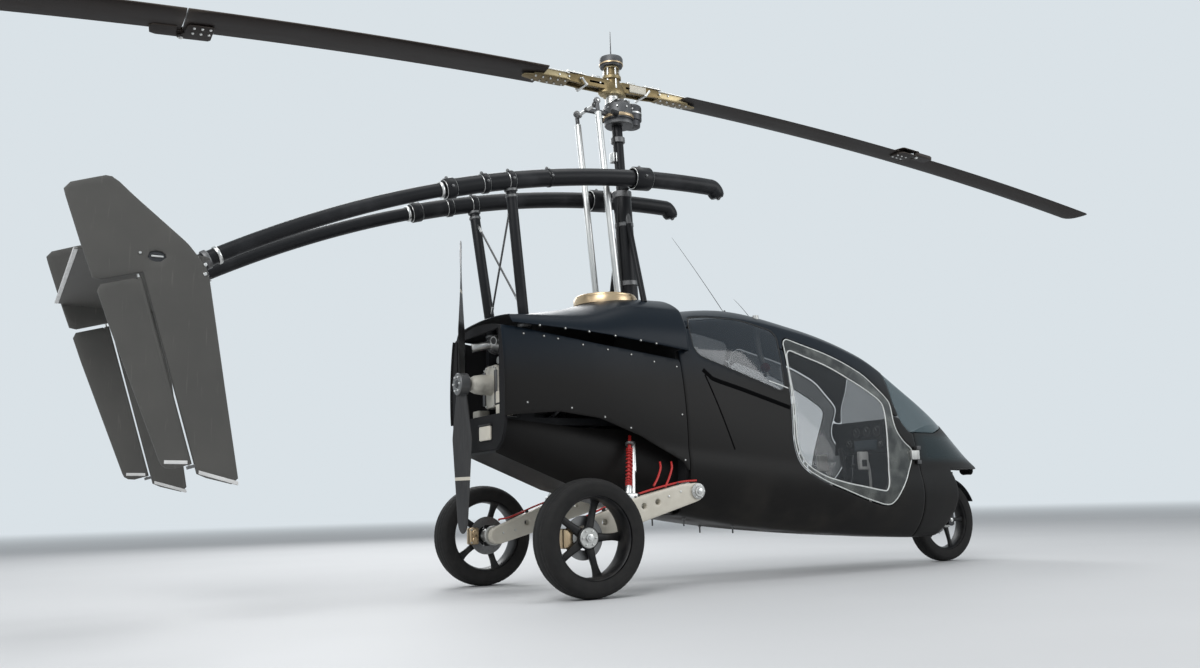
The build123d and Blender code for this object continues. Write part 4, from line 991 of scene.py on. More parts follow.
class GYRO_OT_doors(bpy.types.Operator):
    """Clear doors: a moulded smoky edge with its hinge leaf, painted highlight lines and the light in the
    middle
    """
    bl_idname = "gyro.doors"
    bl_label = "Doors"

    def execute(self, context):
        leaf = Shape()
        brick(leaf, (2032, 310, 700), (2058, 346, 760), 2, 1)
        brick(leaf, (2054, 334, 700), (2092, 346, 760), 2, 1)
        bar(leaf, (*HINGE_AT, 700), (*HINGE_AT, 760), 10, 24, 1.5, 1)
        for name, sign in SIDES:
            def rim_cut(p, sign=sign):
                return one_side(p, sign, largest(gap_to(DOOR_EDGE, p), SEAM / 2 - gap_to(LIGHT_EDGE, p)))

            def light_cut(p, sign=sign):
                return one_side(p, sign, gap_to(LIGHT_EDGE, p) + SEAM / 2)

            body = f"door_{name}"
            shape = trimmed(body_surface(940, 2100, 14), rim_cut, DOOR_WALL).join(leaf, (1, sign, 1))
            make_piece(f"door_rim_{name}", shape, body, "door_edge", "door_rim cast_silver", body)
            shape = trimmed(body_surface(960, 1900, 18), light_cut, GLASS_WALL, GLASS_EDGE, GLASS_LIFT)
            make_piece(f"door_glass_{name}", shape, body, "glass_clear", "door_glass", f"door_window_{name}")
            # Pale strips of painted highlight along the door's edge and round its light
            lines = Shape()
            strip_round(lines, moved(DOOR_EDGE, -4), sign, 4, 3, 0)
            strip_round(lines, LIGHT_EDGE, sign, 4.5, 3.5, -1)
            make_piece(f"door_lines_{name}", lines, body, "glass_clear", "pale_seal")
        return {"FINISHED"}


def cowl_surface():
    """The cowl's grid: its length, the round front corner, and the front wall that runs inwards."""
    rows = np.linspace(-930, COWL_FRONT_X - COWL_CORNER, 70)
    corner = COWL_FRONT_X - COWL_CORNER + np.linspace(0, COWL_CORNER * math.pi / 2, 7)[1:]
    wall = corner[-1] + np.linspace(0, 190, 10)[1:]
    return Surface(cowl_skin, np.concatenate((rows, corner, wall)), np.linspace(-0.1, 2.1, 90))


def cowl_cut(points):
    """Outside the cowl's lower edge or rear end, in the collar's hole, or deep inside the front wall."""
    x, y, z = np.moveaxis(points, -1, 0)
    edge = table_at(COWL, np.minimum(x, COWL_FRONT_X - COWL_CORNER))[..., 1]
    hole = COLLAR[1] + 3 - np.hypot(x - COLLAR[0], y)
    deep = 200 - np.hypot(y, (z - COWL_CORE_Z) * 1.6)
    return largest(-905 - x, edge - z, np.where(z > COWL_CORE_Z, hole, -99),
                   np.where(x > COWL_FRONT_X - 3, deep, -99))


class GYRO_OT_cowl(bpy.types.Operator):
    """Cowl round the mast's foot"""
    bl_idname = "gyro.cowl"
    bl_label = "Cowl"

    def execute(self, context):
        shape = trimmed(cowl_surface(), cowl_cut, PANEL_WALL, ink_in=1)
        make_piece("skin_cowl", shape, "airframe", "body_black", SKIN_INKS, "mast_cowl")
        return {"FINISHED"}


class GYRO_OT_engine_panels(bpy.types.Operator):
    """Side panels of the engine bay"""
    bl_idname = "gyro.engine_panels"
    bl_label = "Engine Panels"

    def execute(self, context):
        for name, sign in SIDES:
            def panel_cut(p, sign=sign):
                return one_side(p, sign, largest(gap_to(PANEL_EDGE, p), -957 - p[..., 0], p[..., 0] - 182))

            shape = trimmed(body_surface(-960, 200, 14), panel_cut, PANEL_WALL, ink_in=1)
            make_piece(f"skin_panel_{name}", shape, "airframe", "body_black", SKIN_INKS,
                       f"engine_panel_{name}")
        return {"FINISHED"}


# Wheels

REAR_WHEEL = {"x": -624, "z": 300, "radius": 300, "width": 159, "rim": 212, "hub": (-58, 0), "spoke": -44,
              "broad": 26}
FRONT_WHEEL = {"x": 2638, "z": 286, "radius": 286, "width": 113, "rim": 205, "hub": (-50, 50), "spoke": 14,
               "broad": 19}
REAR_HALF_TRACK = 662
TREAD_BLOCKS = 60
BLOCK_STEPS = 6
GROOVES = (0.09, 0.25)
GROOVE_HALF = 0.024
SIDE_LINES = ((1.75, 0.05, 1.2), (1.35, 0.04, 0.9))
TYRE_WALL = 9
SPOKES = 5
SPOKE_TURN = 18
HUB_BORE = 16
HUB_BOLTS = (6, 38)
RIM_INKS = "rim_paint cast_silver bright_silver dark_steel"


def bell(values, middle, width):
    """One at the middle and falling to nought within about two widths of it."""
    return np.exp(-((values - middle) / width) ** 2)


def bolt_ring(centre, radius, count, first=AHEAD, second=UP, start=0.0):
    """Places evenly round a circle about a centre, in the plane of two unit vectors."""
    return np.asarray(centre, float) + ring(first, second, radius, count, start)


def tyre(wheel, y, depth):
    """A tyre turned about Y. Across it, s runs from bead to bead; the half section is a superellipse of
    power 2.7 over the side wall, the crown carries round grooves, and every sixth row has a cross cut
    that leans with s."""
    s = np.linspace(-1, 1, 45)
    half, bead = wheel["width"] / 2, wheel["rim"] + 0.3
    turn = s * math.radians(124)
    power = 2 / 2.7
    side = half * np.sign(np.sin(turn)) * np.abs(np.sin(turn)) ** power
    height = np.abs(np.cos(turn))
    height = np.where(np.abs(turn) < math.pi / 2, height ** power * 0.5, -height * 0.9)
    radius = bead + (wheel["radius"] - bead) * np.clip(0.5 + height, 0, 1)
    angle = np.linspace(0, 2 * math.pi, TREAD_BLOCKS * BLOCK_STEPS, endpoint=False)[:, None]
    off = np.abs(s)
    grooves = np.min([np.abs(off - groove) for groove in GROOVES], 0) < GROOVE_HALF
    crown = np.clip(1.6 - np.abs(turn) / 0.7, 0, 1)
    cross = (np.arange(len(angle))[:, None] + np.round(off * 14).astype(int)[None]) % BLOCK_STEPS == 0
    r = radius - depth * crown * (grooves | (cross & (off > 0.12) & (off < 0.5)))
    marks = sum(high * bell(np.abs(turn), middle, width) for middle, width, high in SIDE_LINES)
    across = np.broadcast_to(y + side + marks * np.sign(s), r.shape)
    points = np.stack((wheel["x"] + r * np.cos(angle), across, wheel["z"] + r * np.sin(angle)), -1)
    shrink = np.maximum(r[:, ::-1] - TYRE_WALL, bead) / r[:, ::-1]
    factors = np.stack((shrink, np.full(r.shape, 0.88), shrink), -1)
    centre = np.array((wheel["x"], y, wheel["z"]))
    inside = centre + (points[:, ::-1] - centre) * factors
    return Shape().grid(np.concatenate((points, inside[:, 3:-3:3]), 1), close_u=True, close_v=True)


def wheel_rim(wheel, y, sign):
    """A rim with lips, five tapered spokes that bow outwards, and a bolted hub ring with a dark cap."""
    w, r = wheel["width"], wheel["rim"]
    centre = np.array((wheel["x"], y, wheel["z"]), float)
    half = 0.37 * w
    lip = ((half - 2, r - 10), (half + 4, r - 4), (half + 3, r + 2), (half, r), (half - 8, r - 1))
    right = [(-along, radius) for along, radius in lip[::-1]]
    profile = (*right[1:], (-0.2 * w, r - 16), (0.2 * w, r - 16), *lip, (0.14 * w, r - 7),
               (-0.14 * w, r - 7), right[0])
    shape = lathe(Shape(), centre, LEFT, profile, 96, closed=True)
    radial = np.linspace(38, r - 9, 14)
    q = (radial - radial[0]) / (radial[-1] - radial[0])
    breadth = wheel["broad"] * (1 - 0.4 * np.sin(np.minimum(q * 1.1, 1) * math.pi * 0.5) + 0.5 * q ** 5)
    depth = 14 - 5 * q + 3 * q ** 4
    bow = sign * (wheel["spoke"] + 8 * (1 - q ** 2))
    corner = np.linspace(0, 2 * math.pi, 16, endpoint=False)
    flat, deep = (np.sign(share) * np.abs(share) ** 0.6 for share in (np.cos(corner), np.sin(corner)))
    for k in range(SPOKES):
        turn = math.radians(k * 360 / SPOKES + SPOKE_TURN)
        outward, side = (np.array((a, 0, b)) for a, b in ((math.sin(turn), math.cos(turn)),
                                                          (math.cos(turn), -math.sin(turn))))
        line = centre + radial[:, None] * outward + bow[:, None] * LEFT
        rings = (line[:, None] + (breadth[:, None] * flat)[..., None] * side
                 + (depth[:, None] * deep)[..., None] * LEFT)
        shape.grid(capped(rings), close_v=True)
    low, high = wheel["hub"]
    hub = ((low, HUB_BORE), (low, 42), (low + 6, 46), (high - 24, 46), (high - 18, 58), (high - 9, 58),
           (high - 6, 54), (high - 6, HUB_BORE))
    cap = ((high - 8, HUB_BORE), (high - 8, 52), (high - 3, 52), (high, 48), (high, HUB_BORE))
    for part, k in ((hub, 0), (cap, 1)):
        lathe(shape, centre, LEFT * sign, part, 48, k, closed=True)
    count, circle = HUB_BOLTS
    places = bolt_ring(centre + LEFT * sign * (high + 1), circle, count)
    return studs(shape, places, LEFT * sign, 5.5, 7, 6, 2)


def brake_disc(shape, wheel, y, sign, radius):
    """A brake disc with a hat, and slots marked by a ring of small holes' rims."""
    centre = np.array((wheel["x"], y, wheel["z"]), float)
    way = LEFT * sign
    profile = ((0, 62), (0, radius), (2, radius + 1), (4, radius), (4, 62))
    lathe(shape, centre, way, profile, 72, 3, closed=True)
    circle = np.where(np.arange(30) % 2, 88, 102)[:, None]
    return studs(shape, bolt_ring(centre + way * 4.2, circle, 30), way, 3.5, 0.9, 8, 3)


class GYRO_OT_wheels(bpy.types.Operator):
    """Tyres with tread, spoked rims, hub rings and brake discs"""
    bl_idname = "gyro.wheels"
    bl_label = "Wheels"

    def execute(self, context):
        depth = context.scene.gyro_car.tread_depth / MM
        for name, wheel, y, sign, disc_y, disc_r, nodes in (
                ("left", REAR_WHEEL, REAR_HALF_TRACK, 1, -62, 112, ("rear_tyre_left", "rear_rim_left")),
                ("right", REAR_WHEEL, -REAR_HALF_TRACK, -1, 62, 112, ("rear_tyre_right", "rear_rim_right")),
                ("front", FRONT_WHEEL, 0, -1, 46, 96, ("front_tyre", "front_rim"))):
            body = f"wheel_{name}"
            make_piece(f"tyre_{name}", tyre(wheel, y, depth), body, "tyre", "tyre_rubber", nodes[0], sharp=28)
            shape = brake_disc(wheel_rim(wheel, y, sign), wheel, y + disc_y, -sign, disc_r)
            make_piece(f"rim_{name}", shape, body, "rim_black", RIM_INKS, nodes[1])
        return {"FINISHED"}


# Booms, posts and mast

BOOM_CENTRE = (454, -3585)
BOOM_R = 5986
BOOM_Y = 257
BOOM_TUBE_R = 50
TAIL_TUBE_R = 38
BOOM_FRONT_X = 545
BOOM_BACK_X = -1235
TAIL_FRONT_X = -1080
TAIL_BACK_X = -2540
CLAMP_R = 57
MAST_CLAMP = (22, 112, 70)
POST_FOOT = (-745, 214, 1440)
POST_TOP_X = -843
CLAMPS = ((-1000, 34, CLAMP_R), (POST_TOP_X, 34, CLAMP_R), MAST_CLAMP, (BOOM_BACK_X + 30, 56, CLAMP_R),
          (-600, 18, BOOM_TUBE_R + 4))
TUBE_INKS = "tube_paint bright_silver dark_steel seal_rubber"


def boom_point(x, y=0.0):
    """A point of the booms' circle at x."""
    x = np.asarray(x, float)
    z = BOOM_CENTRE[1] + np.sqrt(BOOM_R ** 2 - (x - BOOM_CENTRE[0]) ** 2)
    return np.stack((x, np.full(x.shape, float(y)), z), -1)


def boom_way(x):
    """The booms' direction at x, towards the nose, and their outward one."""
    out = (boom_point(x) - (BOOM_CENTRE[0], 0, BOOM_CENTRE[1])) / BOOM_R
    return np.array((out[2], 0.0, -out[0])), out


def clamp_ring(shape, x, y, width, radius):
    """A split clamp round a boom: a rounded band, a thin bright line at both edges, and two bolts."""
    centre = boom_point(x, y)
    way, up = boom_way(x)
    profile = ((0, radius - 8), (0, radius - 2), (3, radius), (width - 3, radius), (width, radius - 2),
               (width, radius - 8))
    line = ((0, radius - 9), (0, radius - 5), (1.5, radius - 4), (3, radius - 5), (3, radius - 9))
    lathe(shape, centre - way * width / 2, way, profile, 48, closed=True)
    for edge in (-width / 2 - 3, width / 2):
        lathe(shape, centre + way * edge, way, line, 48, 1, closed=True)
    nut(shape, centre + up * (radius - 1), up, 9, 9, 2)
    nut(shape, centre + LEFT * (radius - 1), LEFT, 8, 8, 2)


class GYRO_OT_booms(bpy.types.Operator):
    """Boom tubes with bent front ends and clamps, their posts and cross stays, and the tail's tubes"""
    bl_idname = "gyro.booms"
    bl_label = "Booms"

    def execute(self, context):
        boom = Shape()
        run = boom_point(np.linspace(BOOM_BACK_X, BOOM_FRONT_X, 60), BOOM_Y)
        way, up = boom_way(BOOM_FRONT_X)
        turn = np.linspace(0, 1, 9)[1:, None]
        path = np.vstack((run, run[-1] + way * 50 * np.sin(turn * 1.2) - up * 62 * turn ** 1.6))
        radius = np.full(len(path), float(BOOM_TUBE_R))
        radius[-3:] = (49, 46, 38)
        hose(boom, path, radius, sides=40)
        nut(boom, path[-1] + np.array((8, 0, 2)), (0.6, 0, -0.8), 14, 10, 2)
        for x, width, size in CLAMPS:
            clamp_ring(boom, x, BOOM_Y, width, size)
        make_piece("boom_sleeves", Shape().pair(boom), "airframe", "tube_black", TUBE_INKS, "boom_tubes")
        post = Shape()
        top, foot = boom_point(POST_TOP_X, BOOM_Y), np.array(POST_FOOT)
        way = unit(top - foot)
        bar(post, foot, top - way * 44, 30, 32)
        for place, size in ((foot + way * 6, 38), (top - way * 96, 34), (top - way * 62, 38)):
            band(post, place, way, 18, 20, size, 32, 2)
        far_top = top * (1, -1, 1)
        low, high = foot + (top - foot) * 0.12, far_top + (foot * (1, -1, 1) - far_top) * 0.12
        way = unit(high - low)
        bar(post, low, high, 6, 12, 1, 2)
        for at in (low + way * 60, high - way * 110):
            bar(post, at, at + way * 46, 8, 12, 2, 1)
        make_piece("boom_legs", Shape().pair(post), "airframe", "tube_black", TUBE_INKS, "boom_posts")
        path = boom_point(np.linspace(TAIL_BACK_X, TAIL_FRONT_X, 60), BOOM_Y)
        tube = hose(Shape(), path, TAIL_TUBE_R, sides=36)
        for x in (BOOM_BACK_X - 26, TAIL_BACK_X + 150):
            band(tube, boom_point(x, BOOM_Y), boom_way(x)[0], 16, 36, 45, 36, 1, 2)
        make_piece("tail_tube_pair", Shape().pair(tube), "tail", "tube_black", TUBE_INKS, "tail_tubes")
        return {"FINISHED"}


MAST_FOOT = np.array((84.0, 0.0, 1560.0))
MAST_TOP = np.array((28.0, 0.0, 2800.0))
MAST_R = 33
SLEEVE_R = 56
SLEEVE_TOP_Z = 2372
MAST_BANDS = ((1780, 61, 30), (2150, 59, 26), (SLEEVE_TOP_Z - 36, 61, 40), (2450, 42, 26), (2690, 44, 36))
MAST_CABLE = ((2790, -36, -14), (2640, -46, -28), (2400, -40, -30), (2160, -60, -24), (1760, -62, -20))
COLLAR_Z = (1640, 1698)
COLLAR_BOLTS = (16, 170)
ROD_Y = 126
ROD_FOOT = (-72, 1600)
ROD_TOP = (-187, 2890)
ROD_R = 20
BRACE_FOOT = (57, 238, 1500)
BRACE_TOP = (56, 36, 2225)
BRIDGE = (48, 2390)


def mast_at(z):
    return MAST_FOOT + (MAST_TOP - MAST_FOOT) * (z - MAST_FOOT[2]) / (MAST_TOP[2] - MAST_FOOT[2])


class GYRO_OT_mast(bpy.types.Operator):
    """Mast with its sleeve, braces and bridge, the collar on the cowl, and the silver push rods"""
    bl_idname = "gyro.mast"
    bl_label = "Mast"

    def execute(self, context):
        shape = bar(Shape(), mast_at(1600), MAST_TOP, MAST_R, 40)
        bar(shape, mast_at(1580), mast_at(SLEEVE_TOP_Z), SLEEVE_R, 44, 5)
        for z, size, high in MAST_BANDS:
            band(shape, mast_at(z), MAST_TOP - MAST_FOOT, high, 30, size, 44, 2)
        part = Shape()
        foot, top = np.array(BRACE_FOOT, float), np.array(BRACE_TOP, float)
        line = unit(top - foot)
        bar(part, foot + line * 150, top, 18, 20)
        bar(part, top - line * 70, top, 20, 16, 2, 2)
        x, z = BRIDGE
        brick(part, (x - 40, 134, z - 30), (x + 40, 166, z + 30), 5, 2)
        studs(part, [(x + dx, 150, z + 30) for dx in (-24, 24)], UP, 7, 8, 6, 1)
        shape.pair(part)
        half = BOOM_Y - MAST_CLAMP[2]
        bar(shape, (x, -half, z), (x, half, z), 17, 24)
        brick(shape, mast_at(2560) + (-58, -26, 0), mast_at(2560) + (-26, 26, 64), 6, 1)
        hose(shape, smooth_path([mast_at(z) + (dx, y, 0) for z, dx, y in MAST_CABLE], 50), 5, sides=10, ink=3)
        make_piece("mast_tube", shape, "airframe", "tube_black", TUBE_INKS, "mast")
        low, high = COLLAR_Z
        foot = (COLLAR[0], 0, low)
        rise = high - low
        profile = ((0, 150), (0, 193), (rise - 20, 193), (rise - 14, 190), (rise - 12, 185), (rise - 4, 184),
                   (rise, 180), (rise, 158), (rise - 8, 152), (rise - 30, 150))
        shape = lathe(Shape(), foot, UP, profile, 96, closed=True)
        lathe(shape, foot, UP, ((rise - 26, 0), (rise - 26, 156)), 64, 1)
        count, circle = COLLAR_BOLTS
        studs(shape, bolt_ring((COLLAR[0], 0, high), circle, count, AHEAD, LEFT), UP, 5, 4, 6, 2)
        make_piece("collar_ring", shape, "airframe", "bronze", "bronze seal_rubber dark_steel", "mast_collar")
        part = Shape()
        foot, top = (np.array((x, ROD_Y, z), float) for x, z in (ROD_FOOT, ROD_TOP))
        line = unit(top - foot)
        bar(part, foot, top - line * 70, ROD_R, 28, 3)
        bar(part, top - line * 72, top - line * 18, 13, 16, 2, 1)
        nut(part, top - line * 76, line, 17, 10, 1)
        band(part, top - (0, 11, 0), LEFT, 22, 6, 21, 28, 1, 2)
        bar(part, top - (0, 18, 0), top + (0, 18, 0), 8, 16)
        make_piece("control_rods", Shape().pair(part), "airframe", "silver", "bright_silver dark_steel",
                   "push_rods")
        return {"FINISHED"}


# Rotor

HUB_Z = 3051
DROOP = 0.0150e-3
BLADE_CHORD = 232
BLADE_T = 26
BLADE_PITCH = math.radians(5)
BLADE_ROOT = 500
BLADE_FOLD = 2530
BLADE_TIP = 4560
BLADE_GAP = 8
FOLD_SIDE = 142
PIN_ROUND = 20
TIP_ROUND = 46
HEAD_X = 43
DRUM_X = 136
HUB_LOW_Z = 2992
TURNED = (-1, -1, 1)
BLADE_INKS = "blade_paint cast_silver bright_silver"


def blade_line(a):
    a = np.asarray(a, float)
    return np.stack((a, np.zeros(a.shape), HUB_Z - DROOP * a * a), -1)


def blade_frame(a):
    """Along the front blade, across it to its leading edge, which its pitch lifts, and out of its top."""
    slope = -2 * DROOP * np.asarray(a, float)
    size = np.hypot(1, slope)
    along = np.stack((1 / size, np.zeros(size.shape), slope / size), -1)
    level = np.stack((-slope / size, np.zeros(size.shape), 1 / size), -1)
    left = np.array((0, 1.0, 0))
    across = math.cos(BLADE_PITCH) * left + math.sin(BLADE_PITCH) * level
    return along, across, math.cos(BLADE_PITCH) * level - math.sin(BLADE_PITCH) * left


def aerofoil(thick, count):
    """Shares of the chord from front to rear, and the half thickness there: the usual fit of a rounded
    nose and a thin tail, by a square root and powers up to the fourth."""
    c = (1 - np.cos(np.linspace(0, math.pi, count))) / 2
    half = 2.969 * np.sqrt(c) - 1.26 * c - 3.516 * c ** 2 + 2.843 * c ** 3 - 1.036 * c ** 4
    return c, half * thick


def blade_skin(shape, a0, a1, rows, round_end):
    """An aerofoil carried along the drooping blade; the end rows of an outer blade draw in over a few
    millimetres to round its tip."""
    a = np.linspace(a0, a1 - (TIP_ROUND if round_end else 0), rows)
    if round_end:
        a = np.unique(np.concatenate((a, a1 - np.array((TIP_ROUND, 20, 6, 0)))))
    c, half = aerofoil(BLADE_T / 2, 15)
    y = BLADE_CHORD * (0.5 - np.concatenate((c, c[-2:0:-1])))
    z = np.concatenate((half * 1.04, -half[-2:0:-1] * 0.92)) + 0.6
    size = np.ones(len(a))
    if round_end:
        tip = np.clip(1 - ((a - a1 + TIP_ROUND) / (TIP_ROUND + 1)) ** 2, 0.02, 1)
        size = np.where(a > a1 - TIP_ROUND, np.sqrt(tip) * 0.5 + 0.5, size)
    _, across, up = blade_frame(a)
    points = (blade_line(a)[:, None] + (y[None] * size[:, None])[..., None] * across[:, None]
              + (z[None] * size[:, None])[..., None] * up[:, None])
    return shape.grid(capped(points), close_v=True)


def at_fold(points):
    """Points of the fold's own frame, pin at nought, x out along the blade, moved to where it is."""
    along, across, up = blade_frame(BLADE_FOLD)
    points = np.asarray(points, float)
    return (blade_line(BLADE_FOLD) + points[..., :1] * along + (points[..., 1:2] - FOLD_SIDE) * across
            + points[..., 2:] * up)


def fold_inner(shape):
    """The plates that hold the fold's pin, above and below the blade, with their bolts and filler."""
    along, across, up = blade_frame(BLADE_FOLD)
    turn = np.radians(np.linspace(-90, 62, 9))
    nose = np.stack((PIN_ROUND * np.cos(turn), PIN_ROUND * np.sin(turn)), -1)
    outline = np.vstack((nose, ((-13, 44), (-16, 112), (-30, 128), (-140, 128), (-150, 118), (-150, -6),
                                (-138, -20))))
    half = BLADE_T / 2
    for height in (half + 4, -half - 4):
        plate(shape, outline, at_fold((0, 0, height)), along, across, 6, 1.6)
    places = np.array([at_fold((x, y, half + 7)) for x in (-132, -92, -52) for y in (52, 104)])
    for side in (1, -1):
        studs(shape, places if side > 0 else places - up * (BLADE_T + 14), up * side, 8, 6, 6, 2)
        nut(shape, at_fold((0, 0, side * (half + 6))), up * side, 14, 9, 2)
    plate(shape, rounded_box(43, 32, 8), at_fold((-104, 66, 0)), along, across, BLADE_T + 2, 3)
    return bar(shape, at_fold((0, 0, -half - 10)), at_fold((0, 0, half + 10)), 8, 20, 1, 2)


def fold_outer(shape):
    """The lug that turns on the fold's pin, let into the outer blade."""
    along, across, up = blade_frame(BLADE_FOLD)
    turn = np.radians(np.linspace(90, 270, 11))
    nose = np.stack((PIN_ROUND * np.cos(turn), PIN_ROUND * np.sin(turn)), -1)
    outline = np.vstack((nose, ((120, -20), (150, -6), (160, 60), (140, 84), (30, 84), (22, 22))))
    plate(shape, outline, at_fold((0, 0, 0)), along, across, BLADE_T - 2, 3)
    places = [at_fold((x, y, BLADE_T / 2 - 3)) for x in (60, 110) for y in (30, 66)]
    return studs(shape, places, up, 7, 5, 6, 2)


class GYRO_OT_rotor(bpy.types.Operator):
    """The rotor's folding blades"""
    bl_idname = "gyro.rotor"
    bl_label = "Rotor"

    def execute(self, context):
        inner = fold_inner(blade_skin(Shape(), BLADE_ROOT, BLADE_FOLD - BLADE_GAP / 2, 24, False))
        outer = fold_outer(blade_skin(Shape(), BLADE_FOLD + BLADE_GAP / 2, BLADE_TIP, 24, True))
        ends = (("front", (1, 1, 1)), ("rear", TURNED))
        for (name, factors), nodes in zip(ends, (("blade_roots",), ())):
            shape = Shape().join(inner, factors)
            make_piece(f"blade_inner_{name}", shape, "rotor", "blade_brown", BLADE_INKS, *nodes)
        for name, factors in ends:
            shape, body = Shape().join(outer, factors), f"blade_{name}"
            make_piece(f"blade_outer_{name}", shape, body, "blade_brown", BLADE_INKS, body)
        return {"FINISHED"}


def hub_beam():
    """One half of the teeter beams, with the grip that takes a blade's root: straps over and under it,
    drawn in towards the blade."""
    part = Shape()
    outline = ((44, -28), (60, -32), (230, -31), (300, -26), (418, -22), (424, -10), (424, 10), (418, 22),
               (300, 26), (210, 31), (60, 33), (44, 28))
    for y in (-33, 33):
        plate(part, outline, (0, y, HUB_Z), AHEAD, UP, 14, 3)
    for low, high, edge, k in (((70, -40, -13), (190, 40, 13), 6, 5), ((96, -30, 12), (160, 30, 50), 7, 3),
                               ((104, -52, -26), (226, -38, 22), 5, 6)):
        brick(part, np.add(low, UP * HUB_Z), np.add(high, UP * HUB_Z), edge, k)
    outline = ((210, -42), (250, -46), (340, -46), (352, -30), (352, 30), (340, 46), (250, 46), (210, 42))
    plate(part, outline, (0, 0, HUB_Z + 34), AHEAD, LEFT, 8, 2, 3)
    studs(part, [(x, y, HUB_Z + 38) for x in (234, 286, 330) for y in (-31, 31)], UP, 9, 10, 6, 3)
    places = np.array([(x, y, HUB_Z) for x in (110, 250, 330, 396) for y in (-41, 41)], float)
    studs(part, places, places * LEFT, 8, 9, 6, 3)
    bar(part, (214, -62, HUB_Z - 34), (214, 62, HUB_Z - 34), 8, 14, 2, 3)
    for y in (-58, 58):
        bar(part, (214, y, HUB_Z - 40), (246, y, HUB_Z + 4), 7, 12, 2, 3)
    along, across, up = blade_frame(BLADE_ROOT)
    base = blade_line(BLADE_ROOT)
    outline = ((-178, -44), (-150, -52), (-30, -52), (20, -46), (120, -20), (130, 0), (120, 20), (20, 46),
               (-30, 52), (-150, 52), (-178, 44))
    for height, k in ((22, 3), (-22, 0)):
        plate(part, outline, base + up * height, along, across, 8, 2.5, k)
    outline = ((-176, -40), (-20, -48), (60, -30), (70, 0), (60, 30), (-20, 48), (-176, 40))
    plate(part, outline, base, along, across, 38, 3)
    places = np.array([base + along * x + up * 26 + across * y
                       for x in (-150, -100, -50, 0, 50) for y in (-26, 26)])
    studs(part, places, up, 7.5, 8, 6, 3)
    return studs(part, places - up * 52, -up, 7.5, 8, 6, 3)


class GYRO_OT_hub(bpy.types.Operator):
    """Rotor head on the mast, hub cone with its cap, teeter beams, grips and linkages"""
    bl_idname = "gyro.hub"
    bl_label = "Rotor Head and Hub"

    def execute(self, context):
        shape = Shape()
        head, drum, hub = AHEAD * HEAD_X, AHEAD * DRUM_X, AHEAD * 0
        for at, profile, sides, k, closed in (
                (head, ((2800, 0), (2800, 84), (2806, 90), (2822, 92), (2826, 86), (2834, 86), (2838, 92),
                        (2930, 92), (2936, 88), (2944, 76), (2965, 62), (2965, 0)), 64, 0, False),
                (head, ((2846, 88), (2846, 96), (2849, 98), (2862, 98), (2865, 96), (2865, 88)), 64, 3, True),
                (hub, ((2925, 0), (2925, 44), (2970, 44), (2974, 40), (2991, 40), (2991, 0)), 40, 2, False),
                (drum, ((2806, 0), (2806, 46), (2812, 56), (2846, 58), (2850, 66), (2856, 67), (2934, 67),
                        (2942, 64), (2950, 54), (2950, 0)), 48, 0, False),
                (drum, ((2944, 40), (2950, 40), (2958, 30), (2958, 0)), 32, 2, False),
                (drum, ((2888, 64), (2888, 69), (2898, 69), (2898, 64)), 48, 2, True)):
            lathe(shape, at, UP, profile, sides, k, closed)
        turn = np.linspace(0.9, 2 * math.pi - 0.9, 8)[:, None]
        out = np.cos(turn) * AHEAD + np.sin(turn) * LEFT
        studs(shape, head + out * 94 + UP * 2906, out, 6, 6, 6, 2)
        places = bolt_ring(head + UP * 2950, 76, 12, AHEAD, LEFT)
        studs(shape, places, places - (HEAD_X, 0, 2890), 7, 8, 6, 2)
        arm_x, arm_z = ROD_TOP[0] + 1.5, ROD_TOP[1] - 16
        brick(shape, (ROD_TOP[0] - 14, -14, arm_z - 13), (HEAD_X - 60, 14, arm_z + 13), 5)
        bar(shape, (arm_x, -ROD_Y + 18, arm_z), (arm_x, ROD_Y - 18, arm_z), 11, 20, 2, 2)
        part = band(Shape(), (arm_x, 90, arm_z), LEFT, 16, 10, 19, 24, 0, 2)
        bar(part, (HEAD_X - 40, 66, 2858), (HEAD_X - 96, 84, 2858), 17, 20, 4, 1)
        make_piece("head_housing", shape.pair(part), "airframe", "dark_metal",
                   "dark_steel seal_rubber bright_silver bronze", "rotor_head")
        low = HUB_LOW_Z
        profile = ((low, 21), (low, 58), (low + 4, 62), (3010, 62), (3016, 52), (3090, 50), (3100, 60),
                   (3118, 60), (3124, 52), (3168, 43), (3172, 50), (3186, 50), (3186, 21))
        shape = lathe(Shape(), hub, UP, profile, 56, closed=True)
        profile = ((2996, 21), (2996, 88), (3004, 96), (3026, 96), (3060, 84), (3096, 58), (3104, 21))
        shape.join(lathe(Shape(), hub, UP, profile, 56, closed=True), (1, 0.6, 1))
        for side in ring(AHEAD, LEFT, 1.0, 6, math.radians(30)):
            bar(shape, side * 53 + (0, 0, 3030), side * 47 + (0, 0, 3172), 6, 12, 2, 3)
        for profile, sides, k, closed in (
                (((3180, 0), (3180, 62), (3184, 70), (3196, 72), (3200, 75), (3236, 75), (3246, 70),
                  (3252, 56), (3252, 0)), 48, 2, False),
                (((3196, 70), (3196, 76), (3204, 76), (3204, 70)), 48, 4, True),
                (((3250, 0), (3250, 12), (3262, 9), (3270, 4), (3424, 2.6), (3430, 0)), 14, 2, False)):
            lathe(shape, hub, UP, profile, sides, k, closed)
        beam = hub_beam()
        shape.join(beam).join(beam, TURNED)
        make_piece("hub_body", shape, "rotor", "bronze",
                   "olive_gold bronze dark_steel bright_silver bronze cast_silver cream_paint", "rotor_hub")
        return {"FINISHED"}


# Tail

